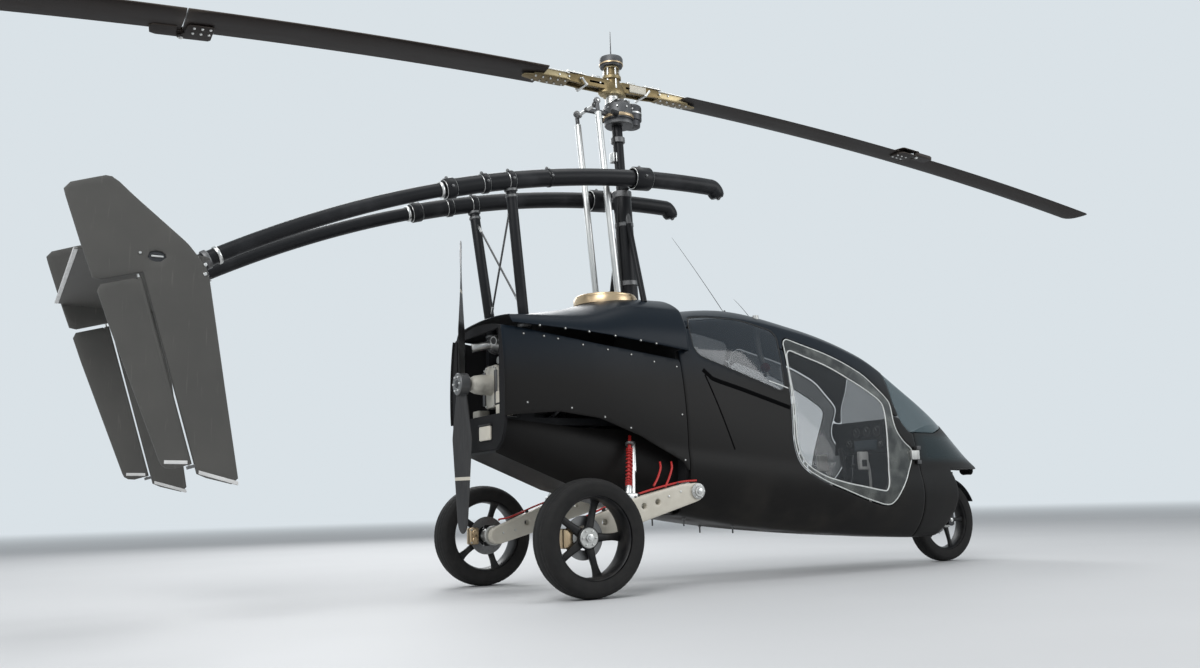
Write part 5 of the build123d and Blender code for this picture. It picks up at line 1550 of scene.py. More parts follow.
FIN_Y = 656
FIN_T = 30
RUDDER_T = 24
FIN = np.array(((-3072, 1833), (-2889, 1898), (-2798, 1815), (-2572, 1625), (-2490, 1517), (-2406, 998),
                (-2338, 589), (-2650, 672), (-2879, 1273), (-2988, 1578)), float)
HINGE_TOP = np.array((-2768.0, 1472.0))
HINGE_FOOT = np.array((-2531.0, 640.0))
RUDDER_TOP_REAR = (-2946, 1464)
RUDDER_NOSE_R = 12
RUDDER_GAP = 8
HINGE_WAY = unit(HINGE_TOP - HINGE_FOOT)
HINGE_AHEAD = np.array((HINGE_WAY[1], -HINGE_WAY[0]))
RUDDER_LOW = HINGE_FOOT + HINGE_WAY * 42
RUDDER_HIGH = HINGE_TOP - HINGE_WAY * RUDDER_GAP
STAB = (-3015, -2480)
STAB_Z = 1572
LATCH = (-2700, 1560)


def flat_surface(low, high, y, pitch):
    """An upright plane facing left, as a surface of x and z."""
    x = np.linspace(low[0], high[0], int((high[0] - low[0]) / pitch) + 2)
    z = np.linspace(low[1], high[1], int((high[1] - low[1]) / pitch) + 2)
    return Surface(lambda u, v: np.stack((u, np.full(u.shape, float(y)), v), -1), x, z)


def beyond(points, at, way):
    """How far past a line square to way, through a point, each point lies in the upright plane."""
    return (points[..., 0] - at[0]) * way[0] + (points[..., 2] - at[1]) * way[1]


def fin_cut(points):
    reach = RUDDER_NOSE_R + RUDDER_GAP
    behind = beyond(points, HINGE_FOOT, HINGE_AHEAD) - reach
    below = beyond(points, HINGE_TOP, HINGE_WAY) - RUDDER_GAP - 2
    latch = 24 - np.hypot((points[..., 0] - LATCH[0]) * 0.7, points[..., 2] - LATCH[1])
    return largest(gap_to(softened(FIN, 18), points), -largest(behind, below), latch)


def rudder_cut(points):
    outline = np.array((HINGE_TOP, RUDDER_TOP_REAR, FIN[8], FIN[7], HINGE_FOOT))
    return largest(gap_to(softened(outline, 10), points), beyond(points, HINGE_FOOT, HINGE_AHEAD),
                   -beyond(points, RUDDER_LOW, HINGE_WAY), beyond(points, RUDDER_HIGH, HINGE_WAY))


def fin_point(at, y):
    return np.array((at[0], y, at[1]), float)


FIN_INKS = "fin_paint fin_foot bright_silver dark_steel seal_rubber"


def fin_plate(shape, outline, thick, edge, ink):
    """A plate in the fin's own plane, from an outline of x and z."""
    return plate(shape, outline, LEFT * FIN_Y, AHEAD, UP, thick, edge, ink)


class GYRO_OT_tail(bpy.types.Operator):
    """Fins with their latches and white feet, rudders on slanted hinges, and the stabiliser between"""
    bl_idname = "gyro.tail"
    bl_label = "Tail"

    def execute(self, context):
        low, high = FIN.min(0) - 20, FIN.max(0) + 20
        x, z = LATCH
        fin = trimmed(flat_surface(low, high, FIN_Y + FIN_T / 2, 26), fin_cut, FIN_T, 7)
        plate(fin, rounded_box(40, 26, 14), (x, FIN_Y, z), AHEAD, UP, 10, 2, 3)
        bar(fin, (x - 22, FIN_Y + 8, z), (x + 26, FIN_Y + 8, z), 5, 12, 1, 2)
        for dx, dz, size in ((-66, 8, 6), (196, -20, 8), (196, -62, 8)):
            for out in (LEFT, -LEFT):
                studs(fin, [fin_point((x + dx, z + dz), FIN_Y) + out * (FIN_T / 2 + 1)], out, size, 4, 12, 2)
        pin_low, pin_high = RUDDER_LOW - HINGE_WAY * 14, RUDDER_HIGH + HINGE_WAY * 16
        bar(fin, fin_point(pin_low, FIN_Y), fin_point(pin_high, FIN_Y), 5, 14, 1, 2)
        shoe = [RUDDER_LOW + HINGE_AHEAD * a + HINGE_WAY * b
                for a, b in ((44, -4), (-12, -4), (-12, -18), (44, -18))]
        fin_plate(fin, shoe, RUDDER_T, 2, 3)
        rear, front = FIN[6] + (-6, 3), HINGE_FOOT[0] + 26
        strip = (rear + (0, 16), rear, (front, 640.0), (front, 656.0))
        fin_plate(fin, strip, FIN_T + 3, 1.5, 1)
        rudder = trimmed(flat_surface(low, high, FIN_Y + RUDDER_T / 2, 26), rudder_cut, RUDDER_T, 5)
        bar(rudder, fin_point(RUDDER_LOW, FIN_Y), fin_point(RUDDER_HIGH, FIN_Y), RUDDER_NOSE_R, 24, 1)
        rear, front = FIN[7] + (8, 12), RUDDER_LOW - HINGE_AHEAD * 8
        strip = (rear + (0, 15), rear, front + (0, 4), front + (0, 19))
        fin_plate(rudder, strip, RUDDER_T + 3, 1.5, 1)
        for name, sign in SIDES:
            for kind, part, body in (("fin", fin, "tail"), ("rudder", rudder, f"rudder_{name}")):
                shape = Shape().join(part, (1, sign, 1))
                make_piece(f"{kind}_plate_{name}", shape, body, "fin_grey", FIN_INKS, f"{kind}_{name}",
                           sharp=30)
        half = FIN_Y - FIN_T / 2
        c, thick = aerofoil(20, 17)
        x = STAB[1] + (STAB[0] - STAB[1]) * np.concatenate((c, c[-2:0:-1]))
        z = STAB_Z + np.concatenate((thick, -thick[-2:0:-1]))
        section = np.stack((x, np.zeros(len(x)), z), -1)
        points = section + np.linspace(-half, half, 30)[:, None, None] * LEFT
        shape = Shape().grid(capped(points), close_v=True)
        brick(shape, (STAB[0] - 2, -half + 10, STAB_Z - 5), (STAB[0] + 16, half - 10, STAB_Z + 5), 2, 1)
        part = Shape()
        x, y, top = TAIL_BACK_X, BOOM_Y, boom_point(TAIL_BACK_X)[2]
        brick(part, (x - 58, y - 24, STAB_Z), (x - 4, y + 24, top + 12), 7, 3)
        brick(part, (x + 10, y - 12, STAB_Z), (x + 128, y + 12, top - 40), 5, 3)
        for at in (x + 22, x + 96):
            band(part, boom_point(at, y), boom_way(at)[0], 24, 38.3, 47, 36, 3, 2)
        for out in (LEFT, -LEFT):
            studs(part, [(x + dx, y, STAB_Z + 60) + out * 24 for dx in (-44, -18)], out, 8, 6, 6, 2)
        make_piece("stabiliser_wing", shape.pair(part), "tail", "fin_grey", FIN_INKS, "stabiliser")
        return {"FINISHED"}


# Rear arms and shocks

ARM_PIVOT = (174, 523)
ARM_Y = (436, 492)
ARM_EDGE = np.array(((219, 533), (194, 571), (84, 565), (-272, 486), (-624, 352), (-666, 330), (-666, 268),
                     (-624, 246), (-242, 350), (154, 461), (209, 478)), float)
ARM_HOLES = ((-90, 470), (-180, 450), (-430, 372))
ARM_HOLE_R = 16
ARM_BOLTS = ((-590, 316), (-510, 330), (-320, 420), (-20, 500), (60, 524))
ARM_INKS = "cream_paint cast_silver bright_silver dark_steel bronze red_hose seal_rubber"
BRAKE_LINE = ((196, 456, 584), (80, 462, 576), (-120, 462, 536), (-330, 462, 478), (-520, 464, 410),
              (-580, 500, 396), (-560, 560, 390))
LINE_CLIPS = ((60, 572), (-200, 518), (-420, 446))
SHOCK_FOOT = np.array((-262.0, 462.0, 505.0))
SHOCK_HEAD = np.array((-150.0, 318.0, 862.0))
COIL_STEPS = 26


def coil(shape, base, axis, length, radius, wire, turns):
    """A spring: a round wire along a helix whose pitch closes up at both ends."""
    q = np.linspace(0, 1, turns * COIL_STEPS)
    rise = q - 0.06 * np.sin(2 * math.pi * q)
    first, second = frame_of(axis)
    angle = q[:, None] * turns * 2 * math.pi
    radial = np.cos(angle) * first + np.sin(angle) * second
    path = base + axis * (rise * length)[:, None] + radial * radius
    up = np.cross(unit(np.gradient(path, axis=0)), radial)
    turn = np.linspace(0, 2 * math.pi, 9, endpoint=False)[None, :, None]
    rings = np.cos(turn) * radial[:, None] + np.sin(turn) * up[:, None]
    return shape.grid(capped(path[:, None] + rings * wire), close_v=True)


def caliper(shape):
    """A brake caliper over the disc's rear edge, with its pistons' caps and bolts."""
    brick(shape, (-752, 560, 250), (-690, 616, 350), 9, 4)
    for z in (278, 322):
        lathe(shape, (-720, 558, z), -LEFT, ((0, 0), (0, 17), (7, 17), (10, 14), (10, 0)), 24, 4)
    return studs(shape, [(-742, 558, 262), (-742, 558, 338)], -LEFT, 6, 6, 6, 2)


class GYRO_OT_arms(bpy.types.Operator):
    """Cream trailing arms with calipers and hoses, their pivots, and the red sprung shocks"""
    bl_idname = "gyro.arms"
    bl_label = "Rear Arms"

    def execute(self, context):
        edge = softened(ARM_EDGE, 16)

        def arm_cut(p):
            holes = [ARM_HOLE_R - np.hypot(p[..., 0] - x, p[..., 2] - z) for x, z in ARM_HOLES]
            return largest(gap_to(edge, p), *holes)

        low, high = ARM_EDGE.min(0) - 20, ARM_EDGE.max(0) + 20
        inner, outer = ARM_Y
        part = trimmed(flat_surface(low, high, outer, 12), arm_cut, outer - inner, 7)
        for y, out in ((outer, LEFT), (inner, -LEFT)):
            studs(part, [(x, y, z) for x, z in ARM_BOLTS], out, 7, 6, 6, 2)
        x, z = REAR_WHEEL["x"], REAR_WHEEL["z"]
        bar(part, (x, outer - 2, z), (x, 603, z), 40, 40, 5, 1)
        flange = ((0, 30), (0, 56), (6, 60), (14, 60), (20, 44), (20, 30))
        lathe(part, (x, outer, z), LEFT, flange, 40, 1, closed=True)
        bar(part, (x, 590, z), (x, 672, z), 15, 24, 2, 2)
        nut(part, (x, 663, z), LEFT, 22, 9, 2)
        caliper(part)
        hose(part, smooth_path(BRAKE_LINE, 60), 5.5, sides=10, ink=5)
        for x, z in LINE_CLIPS:
            brick(part, (x - 9, 453, z - 16), (x + 9, 471, z + 2), 3, 6)
        for name, sign in SIDES:
            make_piece(f"arm_{name}", Shape().join(part, (1, sign, 1)), "airframe", "cream_metal", ARM_INKS,
                       f"rear_arm_{name}")
        part = Shape()
        base = np.array((ARM_PIVOT[0], 0.0, ARM_PIVOT[1]))
        for y, profile in ((372, ((0, 0), (0, 52), (10, 58), (34, 50), (40, 40), (64, 38), (64, 0))),
                           (outer, ((0, 0), (0, 40), (5, 44), (12, 44), (18, 30), (26, 28), (26, 0)))):
            lathe(part, base + LEFT * y, LEFT, profile, 40)
        nut(part, base + LEFT * (outer + 24), LEFT, 17, 10, 1)
        studs(part, bolt_ring(base + LEFT * (outer + 13), 36, 6), LEFT, 5, 5, 6, 1)
        make_piece("arm_bearings", Shape().pair(part), "airframe", "silver", "cast_silver bright_silver",
                   "arm_pivots")
        part = Shape()
        way = unit(SHOCK_HEAD - SHOCK_FOOT)
        foot, head = SHOCK_FOOT + AHEAD * 34, SHOCK_HEAD + AHEAD * 23.8
        for start, end, radius, sides, rounded, k in (
                (SHOCK_FOOT - way * 26, SHOCK_HEAD - way * 22, 9, 24, 2, 0),
                (SHOCK_FOOT + way * 10, SHOCK_FOOT + way * 60, 19, 28, 3, 1),
                (foot - way * 14, head - way * 60, 10, 24, 2, 1),
                (foot + way * 150, head - way * 70, 13, 24, 2, 1)):
            bar(part, start, end, radius, sides, rounded, k)
        band(part, SHOCK_HEAD - way * 84, way, 15, 8, 25, 32, 2)
        coil(part, SHOCK_FOOT + way * 62, way, 236, 15, 4.4, 13)
        brick(part, SHOCK_FOOT + (-26, -14, -30), SHOCK_FOOT + (56, 16, 16), 7, 1)
        studs(part, [SHOCK_FOOT + (x, 17, -4) for x in (-8, 36)], LEFT, 7, 6, 6, 2)
        for x, rise in ((-96, 10), (-20, 2)):
            line = ((x, 462, 548 + rise), (x + 34, 452, 600), (x + 70, 430, 655), (x + 88, 400, 690))
            hose(part, smooth_path(line), 6, sides=10)
        make_piece("shock_pair", Shape().pair(part), "airframe", "dark_metal",
                   "red_hose bright_silver dark_steel", "rear_shocks")
        return {"FINISHED"}


# The engine bay and what stays of the frame as it is

KEPT = {"firewall": "lining_black", "rear_ring": "lining_black", "rear_belly": "satin_black",
        "mast_mount": "dark_steel", "bay_frame": "tube_paint", "arch_liner": "lining_black",
        "front_fork": "tube_paint", "instrument_panel": "lining_black"}
CYLINDERS = (-700, -500)
SHAFT_Z = 1142
GEARBOX_Z = 1132
SILENCER = (-760, 1395)


def finned(shape, base, axis, length, low, high, count):
    """A barrel with thin fins: its radius steps between low and high count times along it."""
    edges = np.linspace(0, length, 2 * count + 1)
    along = np.stack((edges[:-1], edges[1:]), -1).ravel()
    radius = np.repeat(np.where(np.arange(2 * count) % 2, low, high), 2)
    profile = np.vstack(((0, 0), np.stack((along, radius), -1), (length, 0)))
    return lathe(shape, base, axis, profile, 32)


def bricks(shape, boxes):
    """Boxes, each given by its two corners, its edge and its finish."""
    for low, high, edge, ink in boxes:
        brick(shape, low, high, edge, ink)
    return shape


class GYRO_OT_frame_parts(bpy.types.Operator):
    """Finishes of the parts that stay as the frame gives them"""
    bl_idname = "gyro.frame_parts"
    bl_label = "Frame Parts"

    def execute(self, context):
        for node, name in KEPT.items():
            for held in NODES[node].material_slots:
                held.material = ink(name)
        return {"FINISHED"}


class GYRO_OT_engine(bpy.types.Operator):
    """Flat engine with finned barrels, intake pipes, reduction gear and silencer"""
    bl_idname = "gyro.engine"
    bl_label = "Engine"

    def execute(self, context):
        part = Shape()
        for x in CYLINDERS:
            finned(part, (x, 78, SHAFT_Z - 20), LEFT, 66, 50, 62, 7)
            bricks(part, (((x - 66, 142, 1054), (x + 66, 166, 1188), 9, 1),
                          ((x - 54, 164, 1070), (x + 54, 179, 1172), 6, 2)))
            upper = ((x, 152, 1184), (x, 150, 1236), (x + 12, 112, 1282), (x + 20, 78, 1296))
            lower = ((x, 148, 1060), (x, 140, 1006), (x - 30, 118, 962), (x - 40, 92, 948))
            for k, path in ((1, upper), (2, lower)):
                hose(part, smooth_path(path), 17, AHEAD, ink=k)
            studs(part, [(x + a, 179, z) for a in (-42, 42) for z in (1082, 1160)], LEFT, 5, 4, 6, 1)
        bar(part, (-730, 70, 1296), (-440, 70, 1296), 27, 24, 8, 3)
        bar(part, (-780, 70, 1296), (-730, 70, 1296), 22, 24, 4, 1)
        shape = bricks(Shape(), (((-798, -80, 1004), (-340, 80, 1232), 18, 0),
                                 ((-770, -64, 928), (-400, 64, 1010), 22, 2),
                                 ((-640, -60, 1228), (-420, 60, 1262), 12, 2)))
        make_piece("engine_block", shape.pair(part), "airframe", "engine_grey",
                   "engine_cast cast_silver dark_steel seal_rubber pale_cast", "engine")
        middle = np.array((-831, 0, GEARBOX_Z))
        shape = plate(Shape(), rounded_box(95, 120, 44, 8), middle, LEFT, UP, 56, 8)
        snout = ((0, 0), (0, 58), (60, 56), (100, 50), (120, 40), (127, 30), (127, 0))
        lathe(shape, (-858, 0, SHAFT_Z), -AHEAD, snout, 40)
        bar(shape, (-980, 0, SHAFT_Z), (-1066, 0, SHAFT_Z), 21.9, 32, 2, 2)
        rim = rounded_box(83, 108, 36, 3)
        places = middle - AHEAD * 28 + rim[:, :1] * LEFT + rim[:, 1:] * UP
        studs(shape, places, -AHEAD, 6, 8, 6, 1)
        shape.pair(brick(Shape(), (-868, 62, 1030), (-856, 92, 1220), 4, 2))
        make_piece("reduction_gear", shape, "airframe", "engine_grey", "pale_cast bright_silver dark_steel",
                   "gearbox")
        x, z = SILENCER
        shape = bar(Shape(), (x, -165, z), (x, 165, z), 54, 40, 14)
        bar(shape, (x, 0, 1330), (x, 0, z - 30), 21, 24, 3)
        part = lathe(Shape(), (x, 112, z), LEFT, ((0, 54), (0, 57), (16, 57), (16, 54)), 40, 1, closed=True)
        tail = smooth_path(((x - 30, 112, z - 6), (x - 70, 124, z - 10), (-905, 150, z - 26)))
        hose(part, tail, 24, UP, 20)
        hose(part, tail[-3:] - AHEAD * 2, 19, UP, 20, 2)
        make_piece("silencer_can", shape.pair(part), "airframe", "silver",
                   "bright_silver dark_steel seal_rubber", "silencer")
        return {"FINISHED"}


class GYRO_OT_bay_fittings(bpy.types.Operator):
    """Tanks, tray and hoses round the engine, and the box on the rear frame"""
    bl_idname = "gyro.bay_fittings"
    bl_label = "Bay Fittings"

    def execute(self, context):
        shape = bricks(Shape(), (((-890, -218, 945), (-806, 218, 953), 3, 2),
                                 ((-884, -196, 952), (-812, -110, 1096), 10, 1),
                                 ((-887, -199, 1020), (-809, -107, 1030), 3, 3),
                                 ((-884, 112, 952), (-812, 200, 1010), 8, 0),
                                 ((-956, -190, 824), (-939, -50, 902), 7, 1),
                                 ((-957, -196, 902), (-939, -44, 912), 3, 3)))
        lathe(shape, (-848, -152, 1094), UP, ((0, 0), (0, 24), (16, 24), (20, 18), (20, 0)), 24, 3)
        for y, top in ((-176, 1190), (-132, 1150)):
            path = ((-846, y, 1080), (-850, y, 1130), (-838, y + 12, top), (-800, y + 30, top + 18))
            hose(shape, smooth_path(path), 11, sides=14, ink=3)
        make_piece("bay_tanks", shape, "airframe", "cream_metal",
                   "pale_cast cream_paint dark_steel seal_rubber")
        return {"FINISHED"}


# Propeller and fork

PROP_AT = (-1032, SHAFT_Z)
PROP_HUB = (62, 30)
PROP_ROWS = np.array(((58, 62, 50, 22), (300, 120, 40, 15), (752, 90, 16, 8), (811, 58, 14, 6)))
PROP_BAND = (508, 526)


def prop_blade(shape, low, high, ink):
    """One blade between two radii: a lens with a blunt front edge, its chord turned by the pitch."""
    a = np.linspace(low, high, max(int((high - low) / 14), 3))
    chord, pitch, thick = (np.interp(a, PROP_ROWS[:, 0], PROP_ROWS[:, k]) for k in (1, 2, 3))
    chord = chord * np.sqrt(np.clip(1 - (np.maximum(a - 780, 0) / 33) ** 2, 0.02, 1))
    turn = np.radians(pitch)[:, None, None]
    angle = np.linspace(0, 2 * math.pi, 28, endpoint=False)[None]
    across = (chord[:, None] / 2 * np.cos(angle))[..., None]
    deep = (thick[:, None] / 2 * np.sin(angle) * (1 + 0.35 * np.cos(angle)) / 1.2)[..., None]
    side = np.concatenate((np.sin(turn), np.cos(turn), np.zeros_like(turn)), -1)
    face = np.concatenate((np.cos(turn), -np.sin(turn), np.zeros_like(turn)), -1)
    points = across * side + deep * face + UP * a[:, None, None]
    closed = capped(points)
    root, tip = low > PROP_ROWS[0, 0], high < PROP_ROWS[-1, 0]
    return shape.grid(closed[int(root):len(closed) - int(tip)], close_v=True, ink=ink)


class GYRO_OT_propeller(bpy.types.Operator):
    """Two-bladed pusher propeller with a bolted hub"""
    bl_idname = "gyro.propeller"
    bl_label = "Propeller"

    def execute(self, context):
        blade = Shape()
        stops = (PROP_ROWS[0, 0], *PROP_BAND, PROP_ROWS[-1, 0])
        for low, high, k in zip(stops, stops[1:], (0, 1, 0)):
            prop_blade(blade, low, high, k)
        centre = np.array((PROP_AT[0], 0, PROP_AT[1]))
        shape = Shape().join(blade).join(blade, (1, -1, -1)).through(lambda points: points + centre)
        radius, half = PROP_HUB
        back = centre - AHEAD * half
        band(shape, back, AHEAD, 2 * half, 22.4, radius, 48, 2, 5, 5)
        studs(shape, bolt_ring(back, 42, 6, LEFT, UP), -AHEAD, 7, 8, 6, 3)
        make_piece("propeller_pair", shape, "propeller", "prop_black",
                   "prop_carbon cream_paint dark_steel bright_silver", "propeller")
        return {"FINISHED"}


class GYRO_OT_fork_fittings(bpy.types.Operator):
    """Axle nuts, side plates and bolts of the front fork"""
    bl_idname = "gyro.fork_fittings"
    bl_label = "Fork Fittings"

    def execute(self, context):
        x, z = FRONT_AXLE
        part = nut(Shape(), (x, 92.5, z), LEFT, 14, 9)
        plate(part, rounded_box(26, 44, 20, 6), (x, 94, z + 4), AHEAD, UP, 4, 1.5, 1)
        studs(part, [(x + a, 93, 560) for a in (-16, 16)], LEFT, 6, 5, 6)
        make_piece("fork_nuts", Shape().pair(part), "fork", "silver", "bright_silver dark_steel")
        return {"FINISHED"}


# The cabin: padded seats, belts, panel and controls

SEATS = ((530, 420, 20), (1290, 400, 28))
SEAT_LONG = 460
SEAT_BROAD = 430
BACK_LONG = 640
PAD_T = 62
SHELL_T = 7
PAD_ROOM = 13
PAD_PULL = 9
PAD_VOXEL = 0.007
PAD_WELD = 1e-5
PAD_PRESSURE = 4.0
PAD_FRAMES = 20
CHANNEL_DEEP = 6
CHANNEL_HALF = 6
CHANNEL_Y = 118


def pad_start(long, broad, thick):
    """A closed pad about nought, smaller than its space: a round-cornered outline whose sides pull in
    between the corners, turned over a half circle from its lower face to its upper one."""
    outline = walked(rounded_box(long / 2 - PAD_ROOM, broad / 2 - PAD_ROOM, 52, 8), 120)
    share = outline / (long / 2, broad / 2)
    pull = PAD_PULL * np.cos(np.clip(share[:, ::-1], -1, 1) * math.pi / 2)
    outline = outline - np.sign(outline) * pull * np.abs(share) ** 4
    rows = []
    for angle in np.linspace(-math.pi / 2, math.pi / 2, 11):
        inset = 20 * (1 - math.cos(angle))
        flat = outline * (1 - inset / np.array((long / 2, broad / 2)))
        rows.append(np.concatenate((flat, np.full((len(flat), 1), (thick / 2 - 5) * math.sin(angle))), -1))
    ends = [np.broadcast_to((0, 0, row[0, 2]), row.shape) for row in (rows[0], rows[-1])]
    return Shape().grid(np.stack((ends[0], *rows, ends[1])), close_v=True)


def read(items, name, width=1, kind=np.int32):
    """One value, or a row of width values, for each point, corner or face of a mesh."""
    values = np.zeros(len(items) * width, kind)
    items.foreach_get(name, values)
    return values.reshape(-1, width) if width > 1 else values


def mesh_points(mesh):
    return read(mesh.vertices, "co", 3, np.float32).astype(float)


def shown_mesh(piece):
    return bpy.data.meshes.new_from_object(piece.evaluated_get(bpy.context.evaluated_depsgraph_get()))


def swollen(shape):
    """Gives a pad's start an even mesh, blows it up as cloth for some frames, and hands back its points,
    none moved further than the room it has, with its quads."""
    mesh = bpy.data.meshes.new("pad_start")
    mesh.from_pydata(np.concatenate(shape.points) * MM, (), np.concatenate(shape.quads).tolist())
    pad = bpy.data.objects.new("pad_start", cleaned(mesh, PAD_WELD))
    scene = bpy.context.scene
    scene.collection.objects.link(pad)
    even = pad.modifiers.new("even", "REMESH")
    even.mode = "VOXEL"
    even.voxel_size = PAD_VOXEL
    smooth = shown_mesh(pad)
    pad.modifiers.clear()
    pad.data = smooth
    start = mesh_points(smooth)
    cloth = pad.modifiers.new("swell", "CLOTH")
    cloth.settings.quality = 5
    cloth.settings.use_pressure = True
    cloth.settings.uniform_pressure_force = PAD_PRESSURE
    cloth.settings.effector_weights.gravity = 0
    cloth.point_cache.frame_end = PAD_FRAMES
    for frame_number in range(1, PAD_FRAMES + 1):
        scene.frame_set(frame_number)
    gone = mesh_points(shown_mesh(pad)) - start
    pad.modifiers.clear()
    scene.frame_set(1)
    far = np.linalg.norm(gone, axis=1, keepdims=True)
    points = start + gone * np.minimum(1, PAD_ROOM * MM / np.maximum(far, 1e-9))
    corners, starts = read(smooth.loops, "vertex_index"), read(smooth.polygons, "loop_start")
    quads = corners[starts[read(smooth.polygons, "loop_total") == 4][:, None] + np.arange(4)]
    bpy.data.objects.remove(pad)
    return points / MM, quads


def channelled(points, long, pitch):
    """Presses sewn channels into a pad's upper face: two along it, and short ones across between them."""
    u, y, n = points.T
    lines = np.abs(np.abs(y) - CHANNEL_Y)
    across = np.where(np.abs(y) < CHANNEL_Y, np.abs(np.mod(u + long / 2, pitch) - pitch / 2), 99)
    near = np.minimum(lines, across)
    inner = np.clip((long / 2 - 30 - np.abs(u)) / 20, 0, 1)
    drop = CHANNEL_DEEP * np.exp(-(near / CHANNEL_HALF) ** 2) * inner * (n > 0)
    return np.stack((u, y, n - drop), -1)


def on_seat(points, place, back):
    """Takes a pad's own (along, across, up) points to a seat's cushion or, turned up, to its back."""
    x, z, lean = place
    along, across, up = np.asarray(points, float).T
    if not back:
        return np.stack((x + along, across, z + up), -1)
    angle = math.radians(lean)
    ahead = up - PAD_T - SHELL_T
    return np.stack((x + ahead * math.cos(angle) - along * math.sin(angle), across,
                     z + ahead * math.sin(angle) + along * math.cos(angle)), -1)


class GYRO_OT_seats(bpy.types.Operator):
    """Padded seats one behind the other, with their shells and feet"""
    bl_idname = "gyro.seats"
    bl_label = "Seats"

    def execute(self, context):
        middle = SHELL_T + PAD_T / 2
        pads = []
        for long, pitch, back in ((SEAT_LONG, 86, False), (BACK_LONG, 92, True)):
            points, quads = swollen(pad_start(long, SEAT_BROAD, PAD_T))
            points = channelled(points, long, pitch)
            points[:, 2] = np.clip(points[:, 2], -PAD_T / 2, PAD_T / 2)
            pads.append((points + (long / 2, 0, middle), quads, back, long))
        for name, place in zip(("rear", "front"), SEATS):
            for points, quads, back, long in pads:
                shape = Shape().add(on_seat(points, place, back), quads)
                kind = "back" if back else "cushion"
                made = make_piece(f"seat_{kind}_{name}", shape, "airframe", "seat_black", "black_leather",
                                  "seats", sharp=80)
                finer = made.modifiers.new("finer", "SUBSURF")
                finer.levels = finer.render_levels = 1
        shape = Shape()
        for place in SEATS:
            x, z, _ = place
            for long, back in ((SEAT_LONG, False), (BACK_LONG, True)):
                part = brick(Shape(), (0, -SEAT_BROAD / 2, 0), (long, SEAT_BROAD / 2, SHELL_T), 3)
                shape.add(on_seat(part.points[0], place, back), part.quads[0])
            floor = skin(np.array((x + 70.0, x + 390.0)), np.zeros(2))[:, 2].max() + 25
            brick(shape, (x + 70, -120, floor), (x + 390, 120, z), 12)
        make_piece("seat_shells", shape, "airframe", "inner_black", "seal_rubber", "seats")
        return {"FINISHED"}


class GYRO_OT_belts(bpy.types.Operator):
    """Shoulder and lap belts with their buckles"""
    bl_idname = "gyro.belts"
    bl_label = "Belts"

    def execute(self, context):
        shape, part = Shape(), Shape()
        top = PAD_T + SHELL_T + 3
        s = np.linspace(0, 1, 24)
        rest = np.stack((640 - 560 * s, 105 - 60 * s, np.full(len(s), top)), -1)
        lap = np.stack((95 + 20 * np.sin(s * math.pi), 20 + 170 * s, top - 14 * s ** 3), -1)
        buckle = brick(Shape(), (78, -26, top - 2), (132, 26, top + 14), 5)
        for place in SEATS:
            angle = math.radians(place[2])
            ahead = (math.cos(angle), 0, math.sin(angle))
            hose(part, on_seat(rest, place, True), 1.3, ahead, 12, flat=17)
            hose(part, on_seat(lap, place, False), 1.3, UP, 12, flat=17)
            shape.add(on_seat(buckle.points[0], place, False), buckle.quads[0], ink=1)
        make_piece("belt_set", shape.pair(part), "airframe", "seat_black", "belt_webbing red_hose")
        return {"FINISHED"}


PANEL_FACE = 1958
DIALS = ((-120, 905, 40), (-24, 905, 40), (72, 905, 40), (-150, 815, 28), (150, 830, 34))


class GYRO_OT_controls(bpy.types.Operator):
    """Instruments, stick, and the white frame and roof grip in the cabin"""
    bl_idname = "gyro.controls"
    bl_label = "Controls"

    def execute(self, context):
        shape = Shape()
        ticks = np.radians(np.arange(-130, 131, 26))[:, None]
        ways = np.sin(ticks) * LEFT + np.cos(ticks) * UP
        for y, z, radius in DIALS:
            centre = np.array((PANEL_FACE, y, z))
            profile = ((0, 0), (0, radius), (9, radius), (11, radius - 3), (8, radius - 6), (6, 0))
            lathe(shape, centre + AHEAD * 2, -AHEAD, profile, 32)
            studs(shape, centre - AHEAD * 6 + ways * (radius - 11), -AHEAD, 1.8, 2, 6, 2)
            start = centre - AHEAD * 7
            bar(shape, start, start + (LEFT * 0.3 + UP * 0.48) * radius, 1.5, 8, 0.5, 2)
        brick(shape, (PANEL_FACE - 12, -110, 780), (PANEL_FACE + 2, 100, 850), 4, 3)
        floor = skin(np.array((1500.0, 1800.0)), np.zeros(2))[:, 2].max() + 14
        for path, radius in ((((1800, 0, floor), (1795, 0, 470), (1760, 0, 560), (1742, 0, 690)), 11),
                             (((1742, 0, 680), (1738, 0, 740), (1726, 0, 790)), 19)):
            hose(shape, smooth_path(path), radius)
        tube = ((1800, 150, floor + 4), (1800, 170, 420), (1795, 190, 560), (1776, 196, 690),
                (1740, 196, 742))
        part = hose(Shape(), smooth_path(tube), 9, sides=14, ink=2)
        bricks(part, (((1690, 182, 640), (1776, 212, 760), 8, 2), ((1708, 206, 662), (1752, 216, 706), 4, 0)))
        make_piece("cabin_controls", shape.pair(part), "airframe", "inner_black",
                   "seal_rubber bright_silver white_plastic screen_glow red_hose")
        head = skin(np.array(935.0), np.array(1.0))[2] - 12
        path = smooth_path(((932, -150, head - 4), (940, -152, 1440), (962, -156, 1330), (992, -160, 1240)))
        shape = hose(Shape(), path, 15, flat=1.4)
        ball = [(30 - 30 * math.cos(a), 30 * math.sin(a)) for a in np.linspace(0, math.pi, 12)]
        lathe(shape, (950, -168, 1290), -LEFT, ball, 24, 1)
        make_piece("roof_grip", shape, "airframe", "silver", "cast_silver red_cloth")
        return {"FINISHED"}
